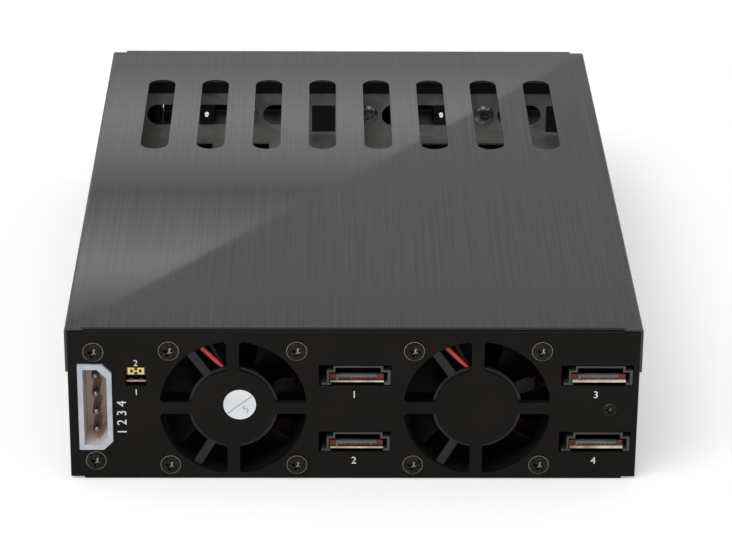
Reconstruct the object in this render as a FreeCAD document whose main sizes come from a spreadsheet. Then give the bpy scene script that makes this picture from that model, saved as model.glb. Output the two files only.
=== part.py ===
import FreeCAD, Part
import math
import os
import re
import Sketcher

# Hot swap drive cage for a half-height 5.25 inch bay. It holds four 2.5 inch drives on sled trays,
# two beside each other in two layers. Millimetres, +Z up. The origin is at the middle of the bottom
# face. The connector side with the two fans faces -Y, and the trays slide out along +Y.

Vector = FreeCAD.Vector
document = FreeCAD.newDocument("hot_swap_drive_cage")
sheet = document.addObject("Spreadsheet::Sheet", "Sizes")

# Driving dimensions. Each can be changed by itself.
SIZES = {
    # whole cage
    "cage_width": 146.0,
    "cage_depth": 200.0,
    "corner_height": 41.3,
    "centre_rise": 0.5,
    "centre_margin": 4.2,
    # sheets
    "chassis_sheet": 0.8,
    "cover_sheet": 0.6,
    "panel_sheet": 0.7,
    "divider_sheet": 0.5,
    "tray_sheet": 0.5,
    "sheet_fit": 0.05,
    "bend_radius": 0.9,
    "panel_bend": 0.4,
    # top cover
    "cover_flange_height": 12.0,
    "cover_setback": 1.1,
    "slot_length": 55.1,
    "slot_width": 8.0,
    "slot_pitch": 16.12,
    "slot_front_margin": 25.2,
    # side holes of the bay standard
    "bay_hole_radius": 1.6,
    "bay_hole_low": 10.0,
    "bay_hole_rise": 11.84,
    "bay_hole_front": 47.4,
    "bay_hole_spacing": 79.25,
    "bay_screw_relief": 3.0,
    # fans
    "fan_margin": 1.3,
    "panel_fittings": 66.0,
    "fan_depth": 10.0,
    "fan_corner": 3.0,
    "fan_screw_inset": 4.0,
    "fan_rim": 1.25,
    "fan_height": 20.1,
    "left_fan_gap": 1.75,
    "right_fan_gap": 1.9,
    "fan_hub_radius": 11.3,
    "fan_hub_plate": 1.2,
    "fan_strut_width": 2.2,
    "fan_tip_gap": 0.5,
    "fan_hole_radius": 1.7,
    "fan_shaft_radius": 0.8,
    "running_fit": 0.05,
    "rotor_hub_radius": 10.3,
    "rotor_cup_wall": 1.0,
    "rotor_sleeve_radius": 2.4,
    "rotor_gap": 0.5,
    "blade_thickness": 0.8,
    "blade_reach": 3.6,
    "lead_radius": 0.55,
    "lead_offset": 2.1,
    "lead_spacing": 1.5,
    # rear panel openings
    "guard_disc_radius": 10.5,
    "guard_spoke": 3.2,
    "guard_corner": 1.0,
    "panel_flange": 7.0,
    "port_opening_width": 18.3,
    "port_opening_height": 5.8,
    "port_rise": 18.85,
    "port_low_height": 10.5,
    "left_port_across": 0.3,
    "right_port_margin": 11.35,
    # data ports
    "port_width": 16.1,
    "port_height": 5.3,
    "port_shift": 0.9,
    "port_wall": 0.8,
    "port_floor": 2.0,
    "port_tongue": 1.2,
    "port_shoulder": 1.2,
    "port_foot": 1.8,
    # power inlet
    "inlet_width": 8.6,
    "inlet_height": 24.0,
    "inlet_wall": 1.3,
    "inlet_chamfer": 2.4,
    "inlet_margin": 3.15,
    "inlet_mid_height": 20.5,
    "inlet_proud": 0.8,
    "inlet_floor": 2.5,
    "inlet_fit": 0.1,
    "pin_pitch": 5.08,
    "pin_radius": 1.05,
    "pin_setback": 2.2,
    "inlet_screw_shift": 0.2,
    "inlet_screw_rise": 15.25,
    "board_screw_shift": 3.6,
    "board_screw_drop": 0.6,
    # fan speed jumper
    "header_pitch": 2.54,
    "header_pin": 0.64,
    "header_margin": 4.5,
    "header_mid_height": 29.0,
    "header_base": 2.5,
    "header_pin_reach": 9.0,
    "cap_tip_gap": 0.5,
    "jumper_opening_width": 5.2,
    "jumper_opening_height": 5.3,
    "cap_height": 2.3,
    "cap_width": 4.9,
    "cap_length": 6.0,
    # backplane
    "board_sheet": 1.6,
    "board_behind_fan": 1.9,
    "board_edge_gap": 0.4,
    "board_vent": 31.0,
    "receptacle_width": 42.0,
    "receptacle_height": 5.2,
    "receptacle_depth": 8.6,
    "receptacle_slot": 1.8,
    "receptacle_slot_depth": 6.4,
    "receptacle_lift": 3.6,
    # drive trays
    "tray_play": 0.175,
    "drive_hole_radius": 1.65,
    "drive_hole_inset": 4.615,
    "drive_hole_first": 14.0,
    "drive_hole_spacing": 76.6,
    "drive_seat_gap": 0.6,
    "layer_pitch": 18.9,
    "lower_tray_height": 4.1,
    "tray_side_height": 3.0,
    "tray_run_gap": 0.1,
    "plate_setback": 20.5,
    "plate_height": 13.0,
    "plate_inset": 1.675,
    "vent_height": 6.7,
    "vent_mid_height": 6.05,
    "vent_rib": 1.6,
    "short_vent_length": 13.4,
    "cam_window_width": 7.1,
    "cam_window_margin": 2.1,
    "cam_window_top": 9.2,
    "floor_window_width": 8.1,
    "left_window_across": -9.65,
    "right_window_across": 7.55,
    "front_window_start": 7.5,
    "front_window_end": 50.0,
    "rear_window_start": 62.0,
    "rear_window_end": 130.0,
    # rails in the chassis
    "rail_ledge": 3.0,
    "rail_lip": 0.5,
    "rail_lip_gap": 0.2,
    # tray bezels
    "bezel_proud": 2.0,
    "bezel_drop": 1.7,
    "bezel_height": 18.6,
    "bezel_wall": 1.3,
    "bezel_back": 2.0,
    "bezel_side_gap": 0.2,
    "bezel_corner": 0.8,
    "bezel_screw_inset": 3.9,
    "bezel_screw_margin": 4.1,
    "bezel_screw_height": 6.3,
    # ejector levers
    "lever_thickness": 2.4,
    "lever_gap": 0.3,
    "lever_knuckle_radius": 1.9,
    "hinge_post": 3.8,
    "hinge_pin_radius": 0.8,
    "lever_slot_width": 2.4,
    "lever_slot_length": 9.6,
    "grille_start_margin": 3.0,
    "grille_end_margin": 1.4,
    # latch buttons
    "latch_zone": 12.0,
    "button_width": 6.4,
    "button_height": 10.0,
    "button_proud": 0.7,
    "button_gap": 0.3,
    "button_flange": 0.9,
    "button_travel": 2.0,
    "button_stem_radius": 1.1,
    "guide_wall": 1.0,
    "guide_length": 4.0,
    "stem_end_gap": 0.4,
    "spring_radius": 1.9,
    "spring_wire": 0.4,
    # light pipes
    "pipe_radius": 0.8,
    "pipe_height": 6.2,
    "pipe_reach": 3.0,
    # screws
    "small_head_radius": 2.75,
    "small_head_height": 1.1,
    "small_shank_radius": 1.45,
    "fan_screw_end_gap": 1.0,
    "sunk_head_radius": 2.0,
    "cover_screw_length": 1.7,
    "cover_screw_height": 36.0,
    "cover_screw_inset": 25.0,
    "bezel_head_radius": 3.0,
    # inspection sticker
    "sticker_radius": 4.15,
    "sticker_thickness": 0.15,
    "sticker_across": 1.65,
    "sticker_up": 1.0,
}

# How many of each repeated feature there are, and which grille slot the light pipe shows in.
SLOT_COUNT = 8
BLADE_COUNT = 7
PIN_COUNT = 4
GRILLE_COUNT = 10
PIPE_SLOT = 2
STRUT_ANGLES = (1, 125, 240)

# Places that follow from the driving dimensions.
DERIVED = {
    "rear_face": "-cage_depth / 2",
    "front_edge": "cage_depth / 2",
    "margin_bottom": "centre_rise",
    "margin_top": "centre_rise + corner_height",
    "centre_top": "margin_top + centre_rise",
    "cage_half": "cage_width / 2",
    "centre_half": "cage_half - centre_margin",
    "cover_inner": "cage_half - cover_sheet",
    "wall_outer": "cover_inner - sheet_fit",
    "wall_inner": "wall_outer - chassis_sheet",
    "wall_top": "margin_top - cover_sheet - sheet_fit",
    "panel_back": "rear_face + panel_sheet",
    "flange_top": "centre_top - cover_sheet - sheet_fit",
    "left_port_edge": "left_port_across - port_opening_width / 2",
    "right_port_edge": "left_port_across + port_opening_width / 2",
    "right_port_across": "cage_half - right_port_margin",
    "inlet_across": "inlet_margin + inlet_width / 2 - cage_half",
    "fan_size": "min(corner_height - fan_margin; (cage_width - panel_fittings) / 2)",
    "fan_bore_radius": "fan_size / 2 - fan_rim",
    "fan_screw_reach": "fan_size / 2 - fan_screw_inset",
    "left_fan_across": "left_port_edge - left_fan_gap - fan_size / 2",
    "right_fan_across": "right_port_edge + right_fan_gap + fan_size / 2",
    "header_across": "left_fan_across - fan_size / 2 - header_margin",
    "board_screw_across": "right_port_across + board_screw_shift",
    "board_screw_height": "port_low_height + port_rise / 2 - board_screw_drop",
    "fan_front": "panel_back",
    "fan_back": "fan_front + fan_depth",
    "board_rear": "fan_back + board_behind_fan",
    "board_front": "board_rear + board_sheet",
    "board_bottom": "margin_bottom + chassis_sheet + board_edge_gap",
    "board_top": "wall_top - board_edge_gap",
    "upper_tray_height": "lower_tray_height + layer_pitch",
    "column_across": "(wall_inner + divider_sheet / 2) / 2",
    "tray_half": "column_across - divider_sheet / 2 - tray_play",
    "drive_hole_across": "tray_half - drive_hole_inset",
    "plate_half_width": "tray_half - plate_inset",
    "cam_window_across": "plate_half_width - cam_window_margin - cam_window_width / 2",
    "short_vent_across": "cam_window_across - cam_window_width / 2 - vent_rib - short_vent_length / 2",
    "bezel_screw_left": "bezel_screw_inset - plate_half_width",
    "bezel_screw_right": "short_vent_across - short_vent_length / 2 - bezel_screw_margin",
    "long_vent_across": "(bezel_screw_left + bezel_screw_right) / 2",
    "long_vent_length": "bezel_screw_right - bezel_screw_left - 2 * bezel_screw_margin",
    "plate_face": "front_edge - plate_setback",
    "plate_front": "plate_face + tray_sheet",
    "drive_rear": "board_front + receptacle_depth",
    "tray_rear": "drive_rear + drive_seat_gap",
    "rail_rear": "board_front + drive_seat_gap",
    "rail_front": "plate_face - drive_seat_gap",
    "bezel_front": "front_edge + bezel_proud",
    "bezel_half": "column_across - divider_sheet / 2 - bezel_side_gap",
    "bezel_top": "bezel_height - bezel_drop",
    "lever_bottom": "bezel_wall + lever_gap - bezel_drop",
    "lever_top": "bezel_top - bezel_wall - lever_gap",
    "lever_back": "bezel_front - lever_thickness",
    "knuckle_across": "bezel_half - hinge_post - lever_gap - lever_knuckle_radius",
    "knuckle_along": "bezel_front - lever_knuckle_radius",
    "latch_across": "bezel_wall + latch_zone / 2 - bezel_half",
    "lever_free_end": "bezel_wall + latch_zone + lever_gap - bezel_half",
    "grille_start": "lever_free_end + grille_start_margin",
    "grille_end": "knuckle_across - lever_knuckle_radius - grille_end_margin",
    "lever_slot_pitch": f"(grille_end - grille_start) / {GRILLE_COUNT}",
    "pipe_across": f"grille_start + ({PIPE_SLOT} + 1 / 2) * lever_slot_pitch",
    "button_mid_height": "bezel_height / 2 - bezel_drop",
    "button_stop": "bezel_front - lever_thickness",
    "guide_radius": "button_stem_radius + button_gap + guide_wall",
    "spring_seat": "plate_front + bezel_back + guide_length",
    "stem_end": "plate_front + bezel_back + button_travel + stem_end_gap",
    "header_base_face": "board_rear - header_base",
    "header_tip": "header_base_face - header_pin_reach",
    "cap_front": "header_tip - cap_tip_gap",
    "header_low": "header_mid_height - header_pitch / 2",
    "header_high": "header_mid_height + header_pitch / 2",
}


def write_sheet():
    """Put every driving dimension in a cell of its own, under its name."""
    for row, (alias, size) in enumerate(SIZES.items(), 1):
        sheet.set(f"A{row}", str(size))
        sheet.setAlias(f"A{row}", alias)
    document.recompute()


def bound(formula):
    """Spell a formula of sizes and derived places as an expression on the sheet."""

    def spell(match):
        name = match.group(0)
        if name in DERIVED:
            return "(" + bound(DERIVED[name]) + ")"
        return "Sizes." + name if name in SIZES else name

    return re.sub(r"[a-z_][a-z_0-9]*", spell, str(formula))


def mm(formula):
    """The present value of a formula."""
    return float(sheet.evalExpression(bound(formula)))


pieces = []


def piece(label, across="0", along="0", up="0"):
    """A body of its own, placed by formulas."""
    body = document.addObject("PartDesign::Body", label)
    body.Label = label
    for axis, formula in (("x", across), ("y", along), ("z", up)):
        body.setExpression(f"Placement.Base.{axis}", bound(formula))
    pieces.append(body)
    return body


def formed(label, shape, across="0", along="0", up="0"):
    """A piece whose shape is worked out from the sheet with Part's own functions."""
    feature = document.addObject("Part::Feature", label)
    feature.Label = label
    feature.Shape = shape
    for axis, formula in (("x", across), ("y", along), ("z", up)):
        feature.setExpression(f"Placement.Base.{axis}", bound(formula))
    pieces.append(feature)
    return feature


def constrain(sketch, kind, places, formula):
    """Add a dimension to a sketch and bind it."""
    index = sketch.addConstraint(Sketcher.Constraint(kind, *places, mm(formula)))
    sketch.setExpression(f"Constraints[{index}]", bound(formula))


def fix_point(sketch, geometry, end, across, up):
    """Hold a point of a sketch at a pair of formulas."""
    constrain(sketch, "DistanceX", (-1, 1, geometry, end), across)
    constrain(sketch, "DistanceY", (-1, 1, geometry, end), up)


def outline(sketch, corners):
    """A closed polygon through corners given as pairs of formulas."""
    start = sketch.GeometryCount
    count = len(corners)
    points = [Vector(mm(across), mm(up), 0) for across, up in corners]
    for index in range(count):
        sketch.addGeometry(Part.LineSegment(points[index], points[(index + 1) % count]))
    for index in range(count):
        after = start + (index + 1) % count
        sketch.addConstraint(Sketcher.Constraint("Coincident", start + index, 2, after, 1))
    for index, (across, up) in enumerate(corners):
        fix_point(sketch, start + index, 1, across, up)


def box_outline(sketch, left, right, low, high):
    """An upright rectangle between four formulas."""
    outline(sketch, [(left, low), (right, low), (right, high), (left, high)])


def disc(sketch, across, up, radius):
    """A full circle."""
    centre = Vector(mm(across), mm(up), 0)
    index = sketch.addGeometry(Part.Circle(centre, Vector(0, 0, 1), mm(radius)))
    fix_point(sketch, index, 3, across, up)
    constrain(sketch, "Radius", (index,), radius)


def obround(sketch, across, up, length, width, lying=True):
    """A slot with half-round ends about its middle, lying or standing."""
    reach = f"(({length}) - ({width})) / 2"
    radius = f"({width}) / 2"
    x, y, half, r = mm(across), mm(up), mm(reach), mm(radius)
    turn = 0.0 if lying else math.pi / 2
    along = Vector(math.cos(turn), math.sin(turn), 0)
    side = Vector(-along.y, along.x, 0)
    middle = Vector(x, y, 0)
    far = middle + along * half
    near = middle - along * half
    normal = Vector(0, 0, 1)
    quarter = math.pi / 2
    far_end = sketch.addGeometry(
        Part.ArcOfCircle(Part.Circle(far, normal, r), turn - quarter, turn + quarter)
    )
    top = sketch.addGeometry(Part.LineSegment(far + side * r, near + side * r))
    near_end = sketch.addGeometry(
        Part.ArcOfCircle(Part.Circle(near, normal, r), turn + quarter, turn + 3 * quarter)
    )
    base = sketch.addGeometry(Part.LineSegment(near - side * r, far - side * r))
    for first, second in ((far_end, top), (top, near_end), (near_end, base), (base, far_end)):
        sketch.addConstraint(Sketcher.Constraint("Tangent", first, 2, second, 1))
    sketch.addConstraint(Sketcher.Constraint("Equal", far_end, near_end))
    if lying:
        ends = ((far_end, f"{across} + {reach}", up), (near_end, f"{across} - {reach}", up))
    else:
        ends = ((far_end, across, f"{up} + {reach}"), (near_end, across, f"{up} - {reach}"))
    for end, end_across, end_up in ends:
        fix_point(sketch, end, 3, end_across, end_up)
    constrain(sketch, "Radius", (far_end,), radius)


def sketch_at(body, plane, height):
    """An empty sketch across one of the body's own axes, at a height along it."""
    sketch = body.newObject("Sketcher::SketchObject", f"{body.Label}_sketch")
    base = [item for item in body.Origin.OriginFeatures if item.Role == f"{plane}_Plane"]
    sketch.AttachmentSupport = [(base[0], "")]
    sketch.MapMode = "FlatFace"
    sign = "-" if plane == "XZ" else ""
    sketch.setExpression("AttachmentOffset.Base.z", f"{sign}({bound(height)})")
    return sketch


def extrude(body, plane, start, end, draw):
    """Add material from start to end along the plane's axis, with the outline that draw makes."""
    sketch = sketch_at(body, plane, start)
    draw(sketch)
    feature = body.newObject("PartDesign::Pad", f"{body.Label}_pad")
    feature.Profile = sketch
    feature.setExpression("Length", bound(f"({end}) - ({start})"))
    feature.Reversed = plane == "XZ"
    return feature


def cut(body, plane, start, end, draw):
    """Take material away from start to end along the plane's axis."""
    sketch = sketch_at(body, plane, start)
    draw(sketch)
    feature = body.newObject("PartDesign::Pocket", f"{body.Label}_pocket")
    feature.Profile = sketch
    feature.setExpression("Length", bound(f"({end}) - ({start})"))
    feature.Reversed = plane != "XZ"
    return feature


def round_edges(body, radius, chosen, kind="Fillet"):
    """Fillet or chamfer the edges of the body's last feature that chosen accepts."""
    document.recompute()
    base = body.Tip
    names = [f"Edge{n}" for n, edge in enumerate(base.Shape.Edges, 1) if chosen(edge)]
    feature = body.newObject(f"PartDesign::{kind}", f"{body.Label}_{kind.lower()}")
    feature.Base = (base, names)
    feature.setExpression("Radius" if kind == "Fillet" else "Size", bound(radius))
    return feature


def runs_along(edge, axis):
    """Whether an edge is straight and parallel to the axis named x, y or z."""
    if edge.Curve.TypeId != "Part::GeomLine":
        return False
    return abs(abs(getattr(edge.Curve.Direction, axis)) - 1) < 1e-6


def mirrored(corners):
    """The outline's right half followed by its mirror image to the left."""
    return corners + [(f"-({across})", up) for across, up in reversed(corners)]


def near(value, target):
    """Whether two lengths agree to a hundredth of a millimetre."""
    return abs(value - target) < 0.01


COLUMNS = (("left", "-column_across"), ("right", "column_across"))
LAYERS = (("lower", "lower_tray_height"), ("upper", "upper_tray_height"))
FANS = (("left", "left_fan_across"), ("right", "right_fan_across"))
PORT_PLACES = [
    (across, up)
    for across in ("left_port_across", "right_port_across")
    for up in ("port_low_height + port_rise", "port_low_height")
]
PANEL_SCREWS = [
    ("inlet_across - inlet_screw_shift", f"inlet_mid_height {sign} inlet_screw_rise")
    for sign in ("+", "-")
]
BOARD_SCREW = ("board_screw_across", "board_screw_height")
BAY_HOLE_ROWS = ("front_edge - bay_hole_front", "front_edge - bay_hole_front - bay_hole_spacing")
COVER_SCREW_ROWS = ("front_edge - cover_screw_inset", "rear_face + cover_screw_inset")
BEZEL_SCREWS = ("bezel_screw_left", "bezel_screw_right")
SIGNS = ("-", "")


def draw_rails(sketch, wall, side):
    """The ledge under each tray and the lip over its side, in section, standing out of a wall."""
    for _, floor in LAYERS:
        ledge_top = f"{floor} - tray_sheet - tray_run_gap"
        lip_low = f"{floor} + tray_side_height + rail_lip_gap"
        box_outline(sketch, wall, f"{wall} {side} rail_ledge", f"{ledge_top} - chassis_sheet", ledge_top)
        box_outline(sketch, wall, f"{wall} {side} rail_lip", lip_low, f"{lip_low} + chassis_sheet")


# The chassis shell is one bent sheet: the bottom with its raised centre panel, and both sides.
# Ledges inside the sides carry the trays, and lips above them hold the trays down.
def chassis_shell():
    body = piece("chassis_shell")
    section = mirrored([
        ("centre_half", "0"),
        ("centre_half", "margin_bottom"),
        ("wall_outer", "margin_bottom"),
        ("wall_outer", "wall_top"),
        ("wall_inner", "wall_top"),
        ("wall_inner", "margin_bottom + chassis_sheet"),
        ("centre_half - chassis_sheet", "margin_bottom + chassis_sheet"),
        ("centre_half - chassis_sheet", "chassis_sheet"),
    ])
    extrude(body, "XZ", "panel_back", "front_edge", lambda s: outline(s, section))

    def rails(sketch):
        draw_rails(sketch, "wall_inner", "-")
        draw_rails(sketch, "-(wall_inner)", "+")

    extrude(body, "XZ", "rail_rear", "rail_front", rails)

    def fan_reliefs(sketch):
        for _, across in FANS:
            half = "(fan_size / 2 + sheet_fit)"
            box_outline(sketch, f"{across} - {half}", f"{across} + {half}",
                        "panel_back", "fan_back + sheet_fit")

    cut(body, "XY", "0", "chassis_sheet", fan_reliefs)

    def side_holes(sketch):
        for along in BAY_HOLE_ROWS:
            for up in ("bay_hole_low", "bay_hole_low + bay_hole_rise"):
                disc(sketch, along, up, "bay_hole_radius")
        for along in COVER_SCREW_ROWS:
            disc(sketch, along, "cover_screw_height", "small_shank_radius + sheet_fit")

    def ledge_reliefs(sketch):
        middle = "bay_hole_low + bay_hole_rise"
        for along in BAY_HOLE_ROWS:
            box_outline(sketch, f"{along} - bay_screw_relief", f"{along} + bay_screw_relief",
                        f"{middle} - bay_screw_relief", f"{middle} + bay_screw_relief")

    cut(body, "YZ", "-wall_outer", "-wall_inner", side_holes)
    cut(body, "YZ", "wall_inner", "wall_outer", side_holes)
    cut(body, "YZ", "-wall_inner", "rail_ledge - wall_inner", ledge_reliefs)
    cut(body, "YZ", "wall_inner - rail_ledge", "wall_inner", ledge_reliefs)
    outer = mm("wall_outer")
    low = mm("margin_bottom")
    round_edges(body, "bend_radius", lambda e: runs_along(e, "y")
                and near(abs(e.BoundBox.XMin), outer) and near(e.BoundBox.ZMin, low))


# The top cover is a bent sheet too: raised centre panel, row of vent slots, two short flanges.
def top_cover():
    body = piece("top_cover")
    flange_low = "margin_top - cover_flange_height"
    outside = [
        ("cage_half", flange_low),
        ("cage_half", "margin_top"),
        ("centre_half", "margin_top"),
        ("centre_half", "centre_top"),
    ]
    inside = [
        ("cover_inner", flange_low),
        ("cover_inner", "margin_top - cover_sheet"),
        ("centre_half - cover_sheet", "margin_top - cover_sheet"),
        ("centre_half - cover_sheet", "centre_top - cover_sheet"),
    ]
    left_inside = [(f"-({across})", up) for across, up in inside]
    section = mirrored(outside) + left_inside + inside[::-1]
    extrude(body, "XZ", "rear_face + cover_setback", "front_edge", lambda s: outline(s, section))

    def slots(sketch):
        for step in range(SLOT_COUNT):
            across = f"({step} - {SLOT_COUNT - 1} / 2) * slot_pitch"
            obround(sketch, across, "front_edge - slot_front_margin - slot_length / 2",
                    "slot_length", "slot_width", lying=False)

    cut(body, "XY", "margin_top - cover_sheet", "centre_top", slots)

    def screw_seats(sketch):
        for along in COVER_SCREW_ROWS:
            disc(sketch, along, "cover_screw_height", "sunk_head_radius + sheet_fit")

    cut(body, "YZ", "-cage_half", "-cover_inner", screw_seats)
    cut(body, "YZ", "cover_inner", "cage_half", screw_seats)
    half = mm("cage_half")
    top = mm("margin_top")
    round_edges(body, "cover_sheet", lambda e: runs_along(e, "y")
                and near(abs(e.BoundBox.XMin), half) and near(e.BoundBox.ZMin, top))


# The rear panel closes the back: fan guards with a disc and crossed spokes, openings for the ports,
# the power inlet and the jumper, and a flange that tucks under the cover.
def rear_panel():
    body = piece("rear_panel")
    flange_edge = "centre_half - cover_sheet - sheet_fit"
    face = mirrored([
        ("centre_half", "0"),
        ("centre_half", "margin_bottom"),
        ("wall_outer", "margin_bottom"),
        ("wall_outer", "wall_top"),
        (flange_edge, "wall_top"),
        (flange_edge, "flange_top"),
    ])
    extrude(body, "XZ", "rear_face", "panel_back", lambda s: outline(s, face))
    back = mm("rear_face")
    crown = mm("margin_bottom + chassis_sheet")

    def outer_bend(edge):
        box = edge.BoundBox
        on_face = near(box.YMin, back) and near(box.YMax, back)
        return on_face and box.ZMax > crown

    round_edges(body, "panel_bend", outer_bend)

    def flanges(sketch):
        box_outline(sketch, f"-({flange_edge})", flange_edge,
                    "flange_top - panel_sheet", "flange_top")
        for sign in SIGNS:
            box_outline(sketch, f"{sign}(wall_inner - sheet_fit)",
                        f"{sign}(wall_inner - sheet_fit - panel_sheet)",
                        "board_bottom", "wall_top - panel_sheet")

    extrude(body, "XZ", "panel_back", "panel_back + panel_flange", flanges)

    def guard_discs(radius):
        def draw(sketch):
            for _, across in FANS:
                disc(sketch, across, "fan_height", radius)

        return draw

    reach = "(fan_bore_radius + guard_spoke / 2)"
    half = "guard_spoke / 2"

    def level_spokes(sketch):
        for _, across in FANS:
            box_outline(sketch, f"{across} - {reach}", f"{across} + {reach}",
                        f"fan_height - {half}", f"fan_height + {half}")

    def upright_spokes(sketch):
        for _, across in FANS:
            box_outline(sketch, f"{across} - {half}", f"{across} + {half}",
                        "fan_height - fan_bore_radius", "fan_height + fan_bore_radius")

    cut(body, "XZ", "rear_face", "panel_back", guard_discs("fan_bore_radius"))
    for draw in (upright_spokes, level_spokes, guard_discs("guard_disc_radius")):
        extrude(body, "XZ", "rear_face", "panel_back", draw)
    centres = [Vector(mm(across), 0, mm("fan_height")) for _, across in FANS]
    spoke = mm("guard_spoke") / 2
    radii = (mm("fan_bore_radius"), mm("guard_disc_radius"))

    def guard_corner(edge):
        if not runs_along(edge, "y"):
            return False
        place = edge.Vertexes[0].Point
        for centre in centres:
            dx, dz = place.x - centre.x, place.z - centre.z
            on_circle = any(near(math.hypot(dx, dz), radius) for radius in radii)
            on_spoke = near(abs(dx), spoke) or near(abs(dz), spoke)
            if on_circle and on_spoke:
                return True
        return False

    round_edges(body, "guard_corner", guard_corner)

    def port_openings(sketch):
        for across, up in PORT_PLACES:
            box_outline(sketch, f"{across} - port_opening_width / 2",
                        f"{across} + port_opening_width / 2",
                        f"{up} - port_opening_height / 2", f"{up} + port_opening_height / 2")
        box_outline(sketch, "header_across - jumper_opening_width / 2",
                    "header_across + jumper_opening_width / 2",
                    "header_mid_height - jumper_opening_height / 2",
                    "header_mid_height + jumper_opening_height / 2")
        inlet_outline(sketch, "inlet_fit")

    cut(body, "XZ", "rear_face", "panel_back", port_openings)

    def screw_holes(sketch):
        for across, up in fan_screw_places() + PANEL_SCREWS:
            disc(sketch, across, up, "small_shank_radius + sheet_fit")
        disc(sketch, *BOARD_SCREW, "sunk_head_radius + sheet_fit")

    cut(body, "XZ", "rear_face", "panel_back", screw_holes)


def fan_screw_places():
    """The four corners of each fan, as pairs of formulas."""
    return [
        (f"{across} {across_sign} fan_screw_reach", f"fan_height {up_sign} fan_screw_reach")
        for _, across in FANS
        for across_sign in ("-", "+")
        for up_sign in ("-", "+")
    ]


def inlet_outline(sketch, grow):
    """The inlet's outline: two corners cut on its right, grown outward by a formula."""
    left = f"inlet_across - inlet_width / 2 - {grow}"
    right = f"inlet_across + inlet_width / 2 + {grow}"
    low = f"inlet_mid_height - inlet_height / 2 - {grow}"
    high = f"inlet_mid_height + inlet_height / 2 + {grow}"
    outline(sketch, [
        (left, low),
        (f"{right} - inlet_chamfer", low),
        (right, f"{low} + inlet_chamfer"),
        (right, f"{high} - inlet_chamfer"),
        (f"{right} - inlet_chamfer", high),
        (left, high),
    ])


# The centre divider stands between the two columns of trays, with the same ledges and lips.
def centre_divider():
    body = piece("centre_divider")
    half = "divider_sheet / 2"
    extrude(body, "XZ", "rail_rear", "front_edge - sheet_fit",
            lambda s: box_outline(s, f"-{half}", half, "chassis_sheet", "flange_top - sheet_fit"))

    def rails_and_foot(sketch):
        draw_rails(sketch, half, "+")
        draw_rails(sketch, f"-({half})", "-")
        for sign in SIGNS:
            box_outline(sketch, f"{sign}({half})", f"{sign}({half} + rail_ledge)",
                        "chassis_sheet", "chassis_sheet + divider_sheet")

    extrude(body, "XZ", "rail_rear", "rail_front", rails_and_foot)


# Each fan is a square moulded frame. Three struts on its outward side hold the motor's plate.
def fan_frame(side, across):
    body = piece(f"{side}_fan_frame", across, "0", "fan_height")
    half = "fan_size / 2"
    extrude(body, "XZ", "fan_front", "fan_back",
            lambda s: box_outline(s, f"-({half})", half, f"-({half})", half))
    corner = mm("fan_size / 2")
    round_edges(body, "fan_corner", lambda e: runs_along(e, "y")
                and near(abs(e.BoundBox.XMin), corner) and near(abs(e.BoundBox.ZMin), corner))

    def bore_and_holes(sketch):
        disc(sketch, "0", "0", "fan_bore_radius")
        for across_sign in SIGNS:
            for up_sign in SIGNS:
                disc(sketch, f"{across_sign}(fan_screw_reach)", f"{up_sign}(fan_screw_reach)",
                     "fan_hole_radius")

    cut(body, "XZ", "fan_front", "fan_back", bore_and_holes)
    extrude(body, "XZ", "fan_front", "fan_front + fan_hub_plate",
            lambda s: disc(s, "0", "0", "fan_hub_radius"))
    near_end = "(fan_hub_radius - fan_strut_width)"
    far_end = "(fan_bore_radius + fan_strut_width / 2)"
    for degrees in STRUT_ANGLES:
        cosine = f"({math.cos(math.radians(degrees)):.6f})"
        sine = f"({math.sin(math.radians(degrees)):.6f})"
        corners = []
        for reach, side_sign in ((near_end, "+"), (far_end, "+"), (far_end, "-"), (near_end, "-")):
            offset = f"(0 {side_sign} fan_strut_width / 2)"
            corners.append((f"{reach} * {cosine} - {offset} * {sine}",
                            f"{reach} * {sine} + {offset} * {cosine}"))
        extrude(body, "XZ", "fan_front", "fan_front + fan_hub_plate",
                lambda s, points=corners: outline(s, points))
    extrude(body, "XZ", "fan_front + fan_hub_plate", "fan_back - rotor_gap",
            lambda s: disc(s, "0", "0", "fan_shaft_radius"))


def rod(radius, length, start=Vector(0, 0, 0), direction=Vector(0, 1, 0)):
    """A round bar from a point, along +Y unless told otherwise."""
    return Part.makeCylinder(radius, length, start, direction)


# The rotor is a cup over the motor with seven pitched blades. It turns on the frame's shaft.
def rotor_shape():
    front = mm("fan_front + fan_hub_plate + rotor_gap")
    depth = mm("fan_back - rotor_gap") - front
    hub = mm("rotor_hub_radius")
    wall = mm("rotor_cup_wall")
    tip = mm("fan_bore_radius - fan_tip_gap")
    thick = mm("blade_thickness")
    reach = mm("blade_reach")
    base = Vector(0, front, 0)
    cup = rod(hub, depth, base).cut(rod(hub - wall, depth - wall, base))
    cup = cup.fuse(rod(mm("rotor_sleeve_radius"), depth, base))

    lead = Vector(-reach, front + thick, 0)
    trail = Vector(reach, front + depth - thick, 0)
    across = Vector(trail.y - lead.y, lead.x - trail.x, 0)
    across.normalize()
    corners = [lead, trail, trail + across * thick, lead + across * thick, lead]
    root = [Vector(point.x, point.y, hub - wall / 2) for point in corners]
    blade = Part.Face(Part.makePolygon(root)).extrude(Vector(0, 0, tip - hub + wall))
    for index in range(BLADE_COUNT):
        turned = blade.copy()
        turned.rotate(Vector(0, 0, 0), Vector(0, 1, 0), 360 * index / BLADE_COUNT)
        cup = cup.fuse(turned)
    shaft_hole = rod(mm("fan_shaft_radius + running_fit"), depth, base)
    return cup.common(rod(tip, depth, base)).cut(shaft_hole).removeSplitter()


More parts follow.
